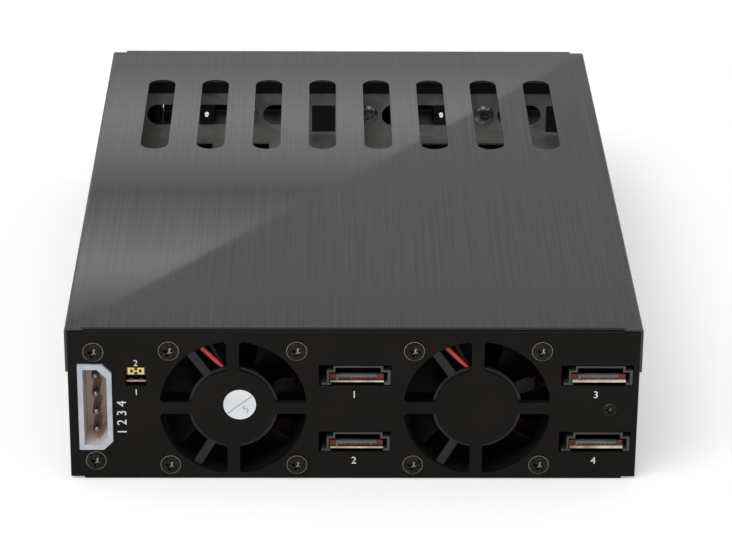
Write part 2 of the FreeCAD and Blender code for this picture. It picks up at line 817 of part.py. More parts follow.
# Two insulated leads run from the motor's plate beside the upper strut to the frame's rim.
def fan_lead_shape():
    radius = mm("lead_radius")
    turn = math.radians(STRUT_ANGLES[1])
    outward = Vector(math.cos(turn), 0, math.sin(turn))
    beside = Vector(math.sin(turn), 0, -math.cos(turn))
    depth = Vector(0, mm("fan_front + fan_hub_plate / 2"), 0)
    leads = []
    for offset in (mm("lead_offset"), mm("lead_offset + lead_spacing")):
        hub_end = math.sqrt(mm("fan_hub_radius") ** 2 - (offset - radius) ** 2)
        rim_end = math.sqrt(mm("fan_bore_radius") ** 2 - (offset + radius) ** 2)
        foot = outward * hub_end + beside * offset + depth
        leads.append(rod(radius, rim_end - hub_end, foot, outward))
    return Part.makeCompound(leads)


def screw_shape(head_radius, shank_length):
    """A pan head screw along +Y: its head outside the plane Y = 0, its shank inside it."""
    head_height = mm("small_head_height")
    head = rod(head_radius, head_height, Vector(0, -head_height, 0))
    return head.fuse(rod(mm("small_shank_radius"), shank_length)).removeSplitter()


def sunk_screw_shape(shank_length):
    """A countersunk screw along +Y whose head is flush with the plane Y = 0."""
    head, shank = mm("sunk_head_radius"), mm("small_shank_radius")
    cone = Part.makeCone(head, shank, head - shank, Vector(0, 0, 0), Vector(0, 1, 0))
    return cone.fuse(rod(shank, shank_length)).removeSplitter()


def group(shape, places):
    """Copies of one shape at several places, as a group of separate solids."""
    copies = []
    for across, along, up in places:
        copy = shape.copy()
        copy.translate(Vector(mm(across), mm(along), mm(up)))
        copies.append(copy)
    return Part.makeCompound(copies)


def screws():
    fan_screw = screw_shape(mm("small_head_radius"), mm("panel_sheet + fan_depth - fan_screw_end_gap"))
    formed("fan_screws", group(fan_screw, [(x, "rear_face", z) for x, z in fan_screw_places()]))
    through_board = mm("board_front - rear_face")
    inlet_screw = screw_shape(mm("small_head_radius"), through_board)
    formed("inlet_screws", group(inlet_screw, [(x, "rear_face", z) for x, z in PANEL_SCREWS]))
    across, up = BOARD_SCREW
    formed("board_screw", group(sunk_screw_shape(through_board), [(across, "rear_face", up)]))


# Four countersunk screws hold the cover's flanges to the chassis, two on each side.
def cover_screws():
    inward = sunk_screw_shape(mm("cover_screw_length"))
    sides = []
    for side_sign, turn in ((1, 90), (-1, -90)):
        turned = inward.copy()
        turned.rotate(Vector(0, 0, 0), Vector(0, 0, 1), turn)
        face = "cage_half" if side_sign > 0 else "-(cage_half)"
        sides.append(group(turned, [(face, along, "cover_screw_height") for along in COVER_SCREW_ROWS]))
    formed("cover_screws", Part.makeCompound([solid for side in sides for solid in side.Solids]))


# The backplane board stands behind the fans. Square vents let the fans draw air through it.
def backplane_board():
    body = piece("backplane_board")
    side = "wall_inner - board_edge_gap"
    extrude(body, "XZ", "board_rear", "board_front",
            lambda s: box_outline(s, f"-({side})", side, "board_bottom", "board_top"))
    vent_bands = (
        ("lower_tray_height + receptacle_lift + receptacle_height", "upper_tray_height - tray_sheet"),
        ("upper_tray_height + receptacle_lift + receptacle_height", "board_top - board_sheet"),
    )

    def vents_and_holes(sketch):
        for _, across in FANS:
            for low, high in vent_bands:
                box_outline(sketch, f"{across} - board_vent / 2", f"{across} + board_vent / 2",
                            f"{low} + board_sheet", high)
        for across, up in PANEL_SCREWS + [BOARD_SCREW]:
            disc(sketch, across, up, "small_shank_radius + sheet_fit")

    cut(body, "XZ", "board_rear", "board_front", vents_and_holes)


# A drive receptacle takes the drive's edge connector in a long slot that faces the tray.
def drive_receptacle(layer, floor, side, across):
    body = piece(f"{layer}_{side}_drive_receptacle", across, "0", floor)
    half = "receptacle_width / 2"
    low, high = "receptacle_lift", "receptacle_lift + receptacle_height"
    extrude(body, "XZ", "board_front", "drive_rear",
            lambda s: box_outline(s, f"-({half})", half, low, high))
    middle = "receptacle_lift + receptacle_height / 2"
    slot_half = f"{half} - receptacle_slot"
    cut(body, "XZ", "drive_rear - receptacle_slot_depth", "drive_rear",
        lambda s: box_outline(s, f"-({slot_half})", slot_half,
                              f"{middle} - receptacle_slot / 2", f"{middle} + receptacle_slot / 2"))


# A rear data port: a shell with stepped upper corners round a contact tongue.
def data_port(number, across, up):
    body = piece(f"data_port_{number}", f"{across} + port_shift", "0", up)
    half = "port_width / 2"
    low, high = "-port_height / 2", "port_height / 2"
    wall = "port_wall"
    step = f"({half} - port_shoulder)"
    shell = mirrored([
        (half, low),
        (half, f"{high} - port_shoulder"),
        (step, f"{high} - port_shoulder"),
        (step, high),
    ])
    foot = [
        (f"-({half})", f"{low} + {wall}"),
        (f"-({half} + port_foot)", f"{low} + {wall}"),
        (f"-({half} + port_foot)", low),
    ]
    extrude(body, "XZ", "rear_face", "board_rear", lambda s: outline(s, shell[:-1] + foot))
    hollow = mirrored([
        (f"{half} - {wall}", f"{low} + {wall}"),
        (f"{half} - {wall}", f"{high} - port_shoulder - {wall}"),
        (f"{step} - {wall}", f"{high} - port_shoulder - {wall}"),
        (f"{step} - {wall}", f"{high} - {wall}"),
    ])
    cut(body, "XZ", "rear_face", "board_rear - port_floor", lambda s: outline(s, hollow))
    inner = f"{step} - {wall} - port_tongue"
    tongue = [
        (f"-({inner})", "-port_tongue"),
        (f"port_tongue / 2 - ({inner})", "-port_tongue"),
        (f"port_tongue / 2 - ({inner})", "0"),
        (inner, "0"),
        (inner, "port_tongue / 2"),
        (f"-({inner})", "port_tongue / 2"),
    ]
    extrude(body, "XZ", "rear_face + port_wall", "board_rear - port_floor",
            lambda s: outline(s, tongue))


# The power inlet is an open shell with two cut corners, and four round pins stand in it.
def power_inlet():
    body = piece("power_inlet")
    front = "rear_face - inlet_proud"
    extrude(body, "XZ", front, "board_rear", lambda s: inlet_outline(s, "0"))
    cut(body, "XZ", front, "board_rear - inlet_floor",
        lambda s: inlet_outline(s, "(0 - inlet_wall)"))
    pin_tip = f"{front} + pin_setback"
    pin = rod(mm("pin_radius"), mm(f"board_rear - inlet_floor - ({pin_tip})"))
    places = []
    for step in range(PIN_COUNT):
        up = f"inlet_mid_height + ({step} - {PIN_COUNT - 1} / 2) * pin_pitch"
        places.append(("inlet_across", pin_tip, up))
    formed("power_pins", group(pin, places))


# The fan speed header has two rows of two square pins; the cap bridges the upper row.
def speed_jumper():
    body = piece("speed_header")
    half = "header_pitch"
    extrude(body, "XZ", "header_base_face", "board_rear",
            lambda s: box_outline(s, f"header_across - {half}", f"header_across + {half}",
                                  f"header_mid_height - {half}", f"header_mid_height + {half}"))
    columns = ("header_across - header_pitch / 2", "header_across + header_pitch / 2")

    def square_row(sketch, up, reach):
        for across in columns:
            box_outline(sketch, f"{across} - {reach}", f"{across} + {reach}",
                        f"{up} - {reach}", f"{up} + {reach}")

    def pins(sketch):
        for up in ("header_low", "header_high"):
            square_row(sketch, up, "header_pin / 2")

    extrude(body, "XZ", "header_tip", "header_base_face", pins)

    cap = piece("jumper_cap")
    extrude(cap, "XZ", "cap_front", "cap_front + cap_length",
            lambda s: box_outline(s, "header_across - cap_width / 2", "header_across + cap_width / 2",
                                  "header_high - cap_height / 2", "header_high + cap_height / 2"))
    cut(cap, "XZ", "cap_front", "cap_front + cap_length",
        lambda s: square_row(s, "header_high", "(header_pin / 2 + sheet_fit)"))


# The inspection sticker is a thin paper disc on the left fan guard's disc.
def inspection_sticker():
    body = piece("inspection_sticker", "left_fan_across + sticker_across", "0",
                 "fan_height + sticker_up")
    extrude(body, "XZ", "rear_face - sticker_thickness", "rear_face",
            lambda s: disc(s, "0", "0", "sticker_radius"))


# A tray's sled is one folded sheet: floor, low sides and a front plate with vents.
def tray_sled(name, across, floor):
    body = piece(f"{name}_sled", across, "0", floor)
    channel = mirrored([
        ("tray_half", "-tray_sheet"),
        ("tray_half", "tray_side_height"),
        ("tray_half - tray_sheet", "tray_side_height"),
        ("tray_half - tray_sheet", "0"),
    ])
    extrude(body, "XZ", "tray_rear", "plate_front", lambda s: outline(s, channel))
    extrude(body, "XZ", "plate_face", "plate_front",
            lambda s: box_outline(s, "-(plate_half_width)", "plate_half_width", "0", "plate_height"))

    def plate_openings(sketch):
        obround(sketch, "long_vent_across", "vent_mid_height", "long_vent_length", "vent_height")
        obround(sketch, "short_vent_across", "vent_mid_height", "short_vent_length", "vent_height")
        box_outline(sketch, "cam_window_across - cam_window_width / 2",
                    "cam_window_across + cam_window_width / 2", "tray_sheet", "cam_window_top")
        for screw in BEZEL_SCREWS:
            disc(sketch, screw, "bezel_screw_height", "small_shank_radius + sheet_fit")

    cut(body, "XZ", "plate_face", "plate_front", plate_openings)

    def floor_openings(sketch):
        first = "drive_rear + drive_hole_first"
        for sign in SIGNS:
            for along in (first, f"{first} + drive_hole_spacing"):
                disc(sketch, f"{sign}(drive_hole_across)", along, "drive_hole_radius")
        for window in ("left_window_across", "right_window_across"):
            for reach in ("front_window", "rear_window"):
                box_outline(sketch, f"{window} - floor_window_width / 2",
                            f"{window} + floor_window_width / 2",
                            f"plate_face - {reach}_end", f"plate_face - {reach}_start")

    cut(body, "XY", "-tray_sheet", "0", floor_openings)


# The moulded bezel closes the tray's front. It is an open frame behind the lever, with a solid
# post at its right end that carries the lever's pin.
def tray_bezel(name, across, floor):
    body = piece(f"{name}_bezel", across, "0", floor)
    half = "bezel_half"
    bottom = "-(bezel_drop)"
    back = "plate_front"
    extrude(body, "XZ", back, "bezel_front",
            lambda s: box_outline(s, f"-({half})", half, bottom, "bezel_top"))
    corner = mm("bezel_half")
    round_edges(body, "bezel_corner", lambda e: runs_along(e, "y")
                and near(abs(e.BoundBox.XMin), corner), "Chamfer")
    wall = "bezel_wall"
    inside = (f"{bottom} + {wall}", f"bezel_top - {wall}")
    latch_wall = f"{wall} + latch_zone - {half}"
    cut(body, "XZ", f"{back} + bezel_back", "bezel_front",
        lambda s: box_outline(s, latch_wall, f"{half} - hinge_post", *inside))
    cut(body, "XZ", f"{back} + bezel_back", "button_stop",
        lambda s: box_outline(s, f"{wall} - {half}", f"{latch_wall} - {wall}", *inside))
    guide_start, guide_end = f"{back} + bezel_back", "spring_seat"
    extrude(body, "XZ", guide_start, guide_end,
            lambda s: box_outline(s, "latch_across - guide_radius", "latch_across + guide_radius",
                                  "button_mid_height - guide_radius",
                                  "button_mid_height + guide_radius"))
    rib = "pipe_radius + bezel_wall"
    rib_front = "lever_back - lever_gap - pipe_reach"
    extrude(body, "XZ", back, rib_front,
            lambda s: box_outline(s, f"pipe_across - ({rib})", f"pipe_across + {rib}", *inside))

    def back_openings(sketch):
        low, high = "vent_mid_height - vent_height / 2", "vent_mid_height + vent_height / 2"
        pipe_left, pipe_right = f"pipe_across - ({rib})", f"pipe_across + {rib}"
        long_left = "long_vent_across - long_vent_length / 2"
        long_right = "long_vent_across + long_vent_length / 2"
        box_outline(sketch, long_left, pipe_left, low, high)
        box_outline(sketch, pipe_right, long_right, low, high)
        box_outline(sketch, "short_vent_across - short_vent_length / 2",
                    "short_vent_across + short_vent_length / 2", low, high)
        for screw in BEZEL_SCREWS:
            disc(sketch, screw, "bezel_screw_height", "small_shank_radius + sheet_fit")

    cut(body, "XZ", back, guide_start, back_openings)
    cut(body, "XZ", guide_start, guide_end,
        lambda s: disc(s, "latch_across", "button_mid_height", "button_stem_radius + button_gap"))
    cut(body, "XZ", back, rib_front,
        lambda s: disc(s, "pipe_across", "pipe_height", "pipe_radius + sheet_fit"))
    window = "(button_width / 2 + button_gap)"
    cut(body, "XZ", "button_stop", "bezel_front",
        lambda s: box_outline(s, f"latch_across - {window}", f"latch_across + {window}",
                              "button_mid_height - button_height / 2 - button_gap",
                              "button_mid_height + button_height / 2 + button_gap"))
    cut(body, "XY", bottom, "bezel_top",
        lambda s: disc(s, "knuckle_across", "knuckle_along", "hinge_pin_radius + running_fit"))


# The lever is a grille that swings on a pin at the tray's outer end.
def ejector_lever(name, across, floor):
    body = piece(f"{name}_lever", across, "0", floor)
    extrude(body, "XZ", "lever_back", "bezel_front",
            lambda s: box_outline(s, "lever_free_end", "knuckle_across", "lever_bottom", "lever_top"))
    extrude(body, "XY", "lever_bottom", "lever_top",
            lambda s: disc(s, "knuckle_across", "knuckle_along", "lever_knuckle_radius"))
    cut(body, "XY", "lever_bottom", "lever_top",
        lambda s: disc(s, "knuckle_across", "knuckle_along", "hinge_pin_radius + running_fit"))

    def grille(sketch):
        middle = "(lever_bottom + lever_top) / 2"
        for step in range(GRILLE_COUNT):
            slot = f"grille_start + ({step} + 1 / 2) * lever_slot_pitch"
            box_outline(sketch, f"{slot} - lever_slot_width / 2", f"{slot} + lever_slot_width / 2",
                        f"{middle} - lever_slot_length / 2", f"{middle} + lever_slot_length / 2")

    cut(body, "XZ", "lever_back", "bezel_front", grille)


def hinge_pin(name, across, floor):
    body = piece(f"{name}_hinge_pin", across, "0", floor)
    extrude(body, "XY", "sheet_fit - bezel_drop", "bezel_top - sheet_fit",
            lambda s: disc(s, "knuckle_across", "knuckle_along", "hinge_pin_radius"))


# The latch button stands through the bezel's window. Its flange stops it and its stem guides it.
def latch_button(name, across, floor):
    body = piece(f"{name}_latch_button", across, "0", floor)

    def rectangle(grow):
        def draw(sketch):
            box_outline(sketch, f"latch_across - button_width / 2 - {grow}",
                        f"latch_across + button_width / 2 + {grow}",
                        f"button_mid_height - button_height / 2 - {grow}",
                        f"button_mid_height + button_height / 2 + {grow}")

        return draw

    extrude(body, "XZ", "button_stop", "bezel_front + button_proud", rectangle("0"))
    extrude(body, "XZ", "button_stop - button_flange", "button_stop", rectangle("button_flange"))
    extrude(body, "XZ", "stem_end", "button_stop - button_flange",
            lambda s: disc(s, "latch_across", "button_mid_height", "button_stem_radius"))


# The latch spring works between the bezel's guide post and the button's flange. Its solid is the
# sleeve that the coil fills.
def latch_spring(name, across, floor):
    body = piece(f"{name}_latch_spring", across, "0", floor)
    extrude(body, "XZ", "spring_seat", "button_stop - button_flange",
            lambda s: disc(s, "latch_across", "button_mid_height", "spring_radius"))
    cut(body, "XZ", "spring_seat", "button_stop - button_flange",
        lambda s: disc(s, "latch_across", "button_mid_height", "spring_radius - spring_wire"))


def light_pipe(name, across, floor):
    body = piece(f"{name}_light_pipe", across, "0", floor)
    extrude(body, "XZ", "plate_face", "lever_back - lever_gap",
            lambda s: disc(s, "pipe_across", "pipe_height", "pipe_radius"))


def bezel_screws(name, across, floor):
    screw = screw_shape(mm("bezel_head_radius"), mm("tray_sheet + bezel_back"))
    places = [(place, "plate_face", "bezel_screw_height") for place in BEZEL_SCREWS]
    formed(f"{name}_bezel_screws", group(screw, places), across, "0", floor)


def check_and_write():
    """Stop on any failed object, then write each piece to its own file."""
    document.recompute()
    for item in document.Objects:
        failed = {"Invalid", "Error"} & set(item.State)
        if failed:
            raise RuntimeError(f"{item.Label}: {item.State}")
        if item.TypeId == "PartDesign::Pocket" and item.BaseFeature is not None:
            if item.Shape.Volume > item.BaseFeature.Shape.Volume - 1e-6:
                raise RuntimeError(f"{item.Label} cuts nothing")
    os.makedirs("parts", exist_ok=True)
    for item in pieces:
        if item.Shape.isNull() or not item.Shape.isValid():
            raise RuntimeError(f"{item.Label} has no valid shape")
        item.Shape.exportStep(f"parts/{item.Label}.step")


write_sheet()
chassis_shell()
top_cover()
rear_panel()
centre_divider()
for side, across in FANS:
    fan_frame(side, across)
    formed(f"{side}_fan_rotor", rotor_shape(), across, "0", "fan_height")
    formed(f"{side}_fan_leads", fan_lead_shape(), across, "0", "fan_height")
screws()
cover_screws()
backplane_board()
for layer, floor in LAYERS:
    for side, across in COLUMNS:
        drive_receptacle(layer, floor, side, across)
for number, (across, up) in enumerate(PORT_PLACES, 1):
    data_port(number, across, up)
power_inlet()
speed_jumper()
inspection_sticker()
for layer, floor in LAYERS:
    for side, across in COLUMNS:
        tray = f"{layer}_{side}_tray"
        for build in (tray_sled, tray_bezel, ejector_lever, hinge_pin, latch_button,
                      latch_spring, light_pipe, bezel_screws):
            build(tray, across, floor)
check_and_write()
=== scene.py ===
import math

import bmesh
import bpy
from mathutils import Matrix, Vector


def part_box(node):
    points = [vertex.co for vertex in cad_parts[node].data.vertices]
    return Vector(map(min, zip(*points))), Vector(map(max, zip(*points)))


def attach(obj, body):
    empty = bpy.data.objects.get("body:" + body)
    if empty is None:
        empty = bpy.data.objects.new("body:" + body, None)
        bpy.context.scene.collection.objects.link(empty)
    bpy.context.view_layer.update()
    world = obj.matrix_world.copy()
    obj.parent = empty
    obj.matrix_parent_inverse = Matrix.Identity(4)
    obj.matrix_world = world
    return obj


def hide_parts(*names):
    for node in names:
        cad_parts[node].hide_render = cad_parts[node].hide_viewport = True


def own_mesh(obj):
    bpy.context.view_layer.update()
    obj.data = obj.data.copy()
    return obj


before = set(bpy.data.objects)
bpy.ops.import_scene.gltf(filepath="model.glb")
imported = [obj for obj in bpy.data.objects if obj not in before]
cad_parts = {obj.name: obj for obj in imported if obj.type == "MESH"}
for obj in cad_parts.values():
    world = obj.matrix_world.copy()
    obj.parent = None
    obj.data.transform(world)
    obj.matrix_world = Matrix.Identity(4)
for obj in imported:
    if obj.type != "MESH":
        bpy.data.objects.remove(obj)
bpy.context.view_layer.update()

# ---- Chassis shell and top cover ----
# Two bent sheets of aluminium, black anodised over a brushed grain that runs from front to back.
# The cover is lacquered as well, so that it mirrors the room over the dark metal.
MM = 0.001


def linear(code):
    """An sRGB hex colour as linear red, green, blue and alpha."""
    channels = [int(code[place:place + 2], 16) / 255 for place in (1, 3, 5)]
    return [c / 12.92 if c <= 0.04045 else ((c + 0.055) / 1.055) ** 2.4 for c in channels] + [1]


def add_node(tree, kind, inputs, **settings):
    """Adds a node with its settings, its sockets given values or linked to other sockets."""
    made = tree.nodes.new(kind)
    for name, value in settings.items():
        setattr(made, name, value)
    for name, value in inputs.items():
        if isinstance(value, bpy.types.NodeSocket):
            tree.links.new(value, made.inputs[name])
        else:
            made.inputs[name].default_value = value
    return made


def new_material(name, **values):
    """A material's node tree and its Principled surface, with plain values on its sockets."""
    material = bpy.data.materials.new(name)
    material.use_nodes = True
    surface = material.node_tree.nodes["Principled BSDF"]
    for socket, value in values.items():
        surface.inputs[socket.replace("_", " ")].default_value = value
    return material, material.node_tree, surface


def dress(material, *nodes):
    """Gives CAD nodes a material."""
    for node in nodes:
        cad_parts[node].material_slots[0].material = material


# Black anodised brushed aluminium: near-black metal with hair-fine lines of lighter and darker
# grey along its length. The real lines are 0.1 mm wide and are drawn at 0.3 mm so that they show.
# The faces square to Y, the front and rear end faces, are painted paler as a painted highlight,
# all but the eased corner at the top of the cover.
GRAIN_WIDTH = 0.3 * MM
GRAIN_LENGTH = 80 * MM
GRAIN_RELIEF = 0.02 * MM
EASED_EDGE = 0.3 * MM
SQUARE_TO_Y = 0.9


def brushed_anodised(name, dark, light, cut, metal, coat):
    """Grain along Y in two greys, painted highlight on faces square to Y, a clear coat over all."""
    material, tree, surface = new_material(
        name, Metallic=metal, Specular_IOR_Level=0.0, Coat_Weight=coat, Coat_Roughness=0.03,
        Coat_IOR=1.5)
    coordinates = add_node(tree, "ShaderNodeTexCoord", {}).outputs
    stretched = add_node(tree, "ShaderNodeMapping", {
        "Vector": coordinates["Object"],
        "Scale": (1 / GRAIN_WIDTH, 1 / GRAIN_LENGTH, 1 / GRAIN_WIDTH),
    }).outputs["Vector"]
    grain = add_node(tree, "ShaderNodeTexNoise", {
        "Vector": stretched, "Scale": 1.0, "Detail": 3.0, "Roughness": 0.65,
    }).outputs["Fac"]
    depth = add_node(tree, "ShaderNodeMapRange", {
        "Value": grain, "From Min": 0.3, "From Max": 0.7,
    }).outputs["Result"]
    brushed = add_node(tree, "ShaderNodeMix", {
        0: depth, 6: linear(dark), 7: linear(light),
    }, data_type="RGBA").outputs[2]
    # Painted highlight: faces square to Y, below the eased corner, take the third, paler colour.
    along = add_node(tree, "ShaderNodeSeparateXYZ", {"Vector": coordinates["Normal"]}).outputs["Y"]
    facing = add_node(tree, "ShaderNodeMath", {0: along}, operation="ABSOLUTE").outputs[0]
    facing_ends = add_node(tree, "ShaderNodeMath", {
        0: facing, 1: SQUARE_TO_Y,
    }, operation="GREATER_THAN").outputs[0]
    height = add_node(tree, "ShaderNodeSeparateXYZ", {"Vector": coordinates["Object"]}).outputs["Z"]
    below = add_node(tree, "ShaderNodeMath", {
        0: height, 1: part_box("top_cover")[1].z - EASED_EDGE,
    }, operation="LESS_THAN").outputs[0]
    painted_end_mask = add_node(tree, "ShaderNodeMath", {0: facing_ends, 1: below}, operation="MULTIPLY").outputs[0]
    colour = add_node(tree, "ShaderNodeMix", {
        0: painted_end_mask, 6: brushed, 7: linear(cut),
    }, data_type="RGBA").outputs[2]
    sheen = add_node(tree, "ShaderNodeMapRange", {
        "Value": grain, "To Min": 0.44, "To Max": 0.30,
    }).outputs["Result"]
    bump = add_node(tree, "ShaderNodeBump", {
        "Height": grain, "Strength": 0.25, "Distance": GRAIN_RELIEF,
    }).outputs["Normal"]
    tree.links.new(colour, surface.inputs["Base Color"])
    tree.links.new(sheen, surface.inputs["Roughness"])
    tree.links.new(bump, surface.inputs["Normal"])
    return material


lacquered_aluminium = brushed_anodised(
    "lacquered_black_anodised_aluminium", "#1a1919", "#3b3939", "#4c4a4c", metal=0.2, coat=0.44)
bare_aluminium = brushed_anodised(
    "black_anodised_aluminium", "#1a1919", "#2e2c2c", "#353434", metal=0.3, coat=0.15)
dress(lacquered_aluminium, "top_cover")
dress(bare_aluminium, "chassis_shell")

# ---- Rear panel ----
# A pressed steel sheet with the fan guards punched in it, powder coated satin black.
# The powder is fused in an oven, so its skin has a very fine orange peel, 0.6 mm wide, which
# makes the highlight slightly restless, and a tone that drifts over 14 mm.
PEEL_WIDTH = 0.6 * MM
PEEL_RELIEF = 0.03 * MM
CLOUD_WIDTH = 14 * MM


def powder_coat(name, dark, light, roughness, gloss):
    """Orange peel in the bump and the gloss, over a slow drift of tone."""
    material, tree, surface = new_material(name, Specular_IOR_Level=gloss)
    place = add_node(tree, "ShaderNodeTexCoord", {}).outputs["Object"]
    skin = add_node(tree, "ShaderNodeTexNoise", {
        "Vector": place, "Scale": 1 / PEEL_WIDTH, "Detail": 2.0,
    }).outputs["Fac"]
    cloud = add_node(tree, "ShaderNodeTexNoise", {
        "Vector": place, "Scale": 1 / CLOUD_WIDTH, "Detail": 3.0,
    }).outputs["Fac"]
    spread = add_node(tree, "ShaderNodeMapRange", {
        "Value": cloud, "From Min": 0.35, "From Max": 0.65,
    }).outputs["Result"]
    colour = add_node(tree, "ShaderNodeMix", {
        0: spread, 6: linear(dark), 7: linear(light),
    }, data_type="RGBA").outputs[2]
    sheen = add_node(tree, "ShaderNodeMapRange", {
        "Value": skin, "To Min": roughness - 0.08, "To Max": roughness + 0.08,
    }).outputs["Result"]
    bump = add_node(tree, "ShaderNodeBump", {
        "Height": skin, "Strength": 0.35, "Distance": PEEL_RELIEF,
    }).outputs["Normal"]
    tree.links.new(colour, surface.inputs["Base Color"])
    tree.links.new(sheen, surface.inputs["Roughness"])
    tree.links.new(bump, surface.inputs["Normal"])
    return material


dress(powder_coat("satin_black_powder_coat", "#0b0a08", "#120f0c", roughness=0.5, gloss=0.11),
      "rear_panel")

# ---- Centre divider and tray sleds ----
# Folded sheet steel, zinc plated. The divider stands between the columns of trays, and each sled
# is the shallow pan that a drive is screwed down into.
# Zinc plate: pale grey metal, dulled by its passivation, with faint crystal patches 3 mm across
# and fine rolling lines.
CRYSTAL_WIDTH = 3 * MM
ROLLING_WIDTH = 0.3 * MM
ROLLING_LENGTH = 20 * MM
ROLLING_RELIEF = 0.02 * MM
zinc_plated_steel, tree, surface = new_material("zinc_plated_steel", Metallic=0.6)
place = add_node(tree, "ShaderNodeTexCoord", {}).outputs["Object"]
crystals = add_node(tree, "ShaderNodeTexVoronoi", {
    "Vector": place, "Scale": 1 / CRYSTAL_WIDTH, "Randomness": 1.0,
}).outputs["Color"]
patches = add_node(tree, "ShaderNodeSeparateColor", {"Color": crystals}).outputs["Red"]
colour = add_node(tree, "ShaderNodeMix", {
    0: patches, 6: linear("#9c9c99"), 7: linear("#b0b0ad"),
}, data_type="RGBA").outputs[2]
rolled = add_node(tree, "ShaderNodeMapping", {
    "Vector": place, "Scale": (1 / ROLLING_WIDTH, 1 / ROLLING_LENGTH, 1 / ROLLING_WIDTH),
}).outputs["Vector"]
lines = add_node(tree, "ShaderNodeTexNoise", {
    "Vector": rolled, "Scale": 1.0, "Detail": 2.0,
}).outputs["Fac"]
sheen = add_node(tree, "ShaderNodeMapRange", {
    "Value": patches, "To Min": 0.30, "To Max": 0.44,
}).outputs["Result"]
bump = add_node(tree, "ShaderNodeBump", {
    "Height": lines, "Strength": 0.2, "Distance": ROLLING_RELIEF,
}).outputs["Normal"]
tree.links.new(colour, surface.inputs["Base Color"])
tree.links.new(sheen, surface.inputs["Roughness"])
tree.links.new(bump, surface.inputs["Normal"])
TRAYS = [f"{layer}_{side}_tray" for layer in ("lower", "upper") for side in ("left", "right")]
dress(zinc_plated_steel, "centre_divider", *[f"{tray}_sled" for tray in TRAYS])

# ---- Backplane board and its drive receptacles ----
# A glass-epoxy circuit board behind the fans. It is etched, then printed with red solder mask,
# and the drives' edge connectors are soldered to its front.
# Solder mask: deep red with slightly paler tracks 0.8 mm wide under a clear glossy skin, in which
# the weave of the glass shows as a faint ripple.
TRACK_HALF_WIDTH = 0.4 * MM
TRACK_PITCH = 2.6 * MM
TRACK_LENGTH = 9 * MM
MASK_WEAVE = 0.5 * MM
MASK_RELIEF = 0.02 * MM
red_solder_mask, tree, surface = new_material(
    "red_solder_mask", Roughness=0.32, Coat_Weight=0.3, Coat_Roughness=0.12)
place = add_node(tree, "ShaderNodeTexCoord", {}).outputs["Object"]
tracks = add_node(tree, "ShaderNodeTexBrick", {
    "Vector": add_node(tree, "ShaderNodeMapping", {
        "Vector": place, "Rotation": (math.pi / 2, 0, 0),
    }).outputs["Vector"],
    "Color1": linear("#1f0806"), "Color2": linear("#260a07"), "Mortar": linear("#35110d"),
    "Scale": 1.0, "Mortar Size": TRACK_HALF_WIDTH, "Brick Width": TRACK_LENGTH,
    "Row Height": TRACK_PITCH,
}).outputs["Color"]
bump = add_node(tree, "ShaderNodeBump", {
    "Height": add_node(tree, "ShaderNodeTexNoise", {
        "Vector": place, "Scale": 1 / MASK_WEAVE,
    }).outputs["Fac"],
    "Strength": 0.2, "Distance": MASK_RELIEF,
}).outputs["Normal"]
tree.links.new(tracks, surface.inputs["Base Color"])
tree.links.new(bump, surface.inputs["Normal"])
dress(red_solder_mask, "backplane_board")


# Moulded plastics share one way of being made: a steel mould eroded by sparks leaves a fine
# stipple, and the plastic's own colour drifts a little with the flow.
FLOW_WIDTH = 6 * MM
STIPPLE_RELIEF = 0.04 * MM


def moulded_plastic(name, dark, light, roughness, stipple, strength, gloss=0.4):
    """Stipple in the bump and the gloss, over a slow drift of colour."""
    material, tree, surface = new_material(name, Specular_IOR_Level=gloss)
    place = add_node(tree, "ShaderNodeTexCoord", {}).outputs["Object"]
    flow = add_node(tree, "ShaderNodeTexNoise", {
        "Vector": place, "Scale": 1 / FLOW_WIDTH, "Detail": 3.0,
    }).outputs["Fac"]
    pits = add_node(tree, "ShaderNodeTexNoise", {
        "Vector": place, "Scale": 1 / stipple, "Detail": 2.0,
    }).outputs["Fac"]
    drift = add_node(tree, "ShaderNodeMapRange", {
        "Value": flow, "From Min": 0.35, "From Max": 0.65,
    }).outputs["Result"]
    colour = add_node(tree, "ShaderNodeMix", {
        0: drift, 6: linear(dark), 7: linear(light),
    }, data_type="RGBA").outputs[2]
    sheen = add_node(tree, "ShaderNodeMapRange", {
        "Value": pits, "To Min": roughness - 0.07, "To Max": roughness + 0.07,
    }).outputs["Result"]
    bump = add_node(tree, "ShaderNodeBump", {
        "Height": pits, "Strength": strength, "Distance": STIPPLE_RELIEF,
    }).outputs["Normal"]
    tree.links.new(colour, surface.inputs["Base Color"])
    tree.links.new(sheen, surface.inputs["Roughness"])
    tree.links.new(bump, surface.inputs["Normal"])
    return material


# Connector nylon: black, a little shiny, nearly smooth.
black_connector_nylon = moulded_plastic(
    "black_connector_nylon", "#161616", "#1f1f20", roughness=0.35, stipple=0.3 * MM,
    strength=0.15)
dress(black_connector_nylon, *[f"{tray.removesuffix('_tray')}_drive_receptacle" for tray in TRAYS])

# ---- Fans ----
# Two 40 mm fans. Each frame is moulded in one piece with the three struts and the motor's plate,
# and the rotor, a cup with seven curved blades, turns on the shaft behind that plate.
# Fan plastic: glass-filled black polyester, dull, with a fine dry stipple. The rotor's is a
# deeper black than the frame's; the same black fills the back of each data socket as painted
# shade.
frame_polyester = moulded_plastic(
    "black_frame_polyester", "#100f0e", "#181716", roughness=0.42, stipple=0.25 * MM,
    strength=0.3, gloss=0.3)
rotor_and_shade_polyester = moulded_plastic(
    "black_rotor_and_shade_polyester", "#030303", "#060606", roughness=0.5, stipple=0.25 * MM, strength=0.4,
    gloss=0.05)
dress(frame_polyester, "left_fan_frame", "right_fan_frame")
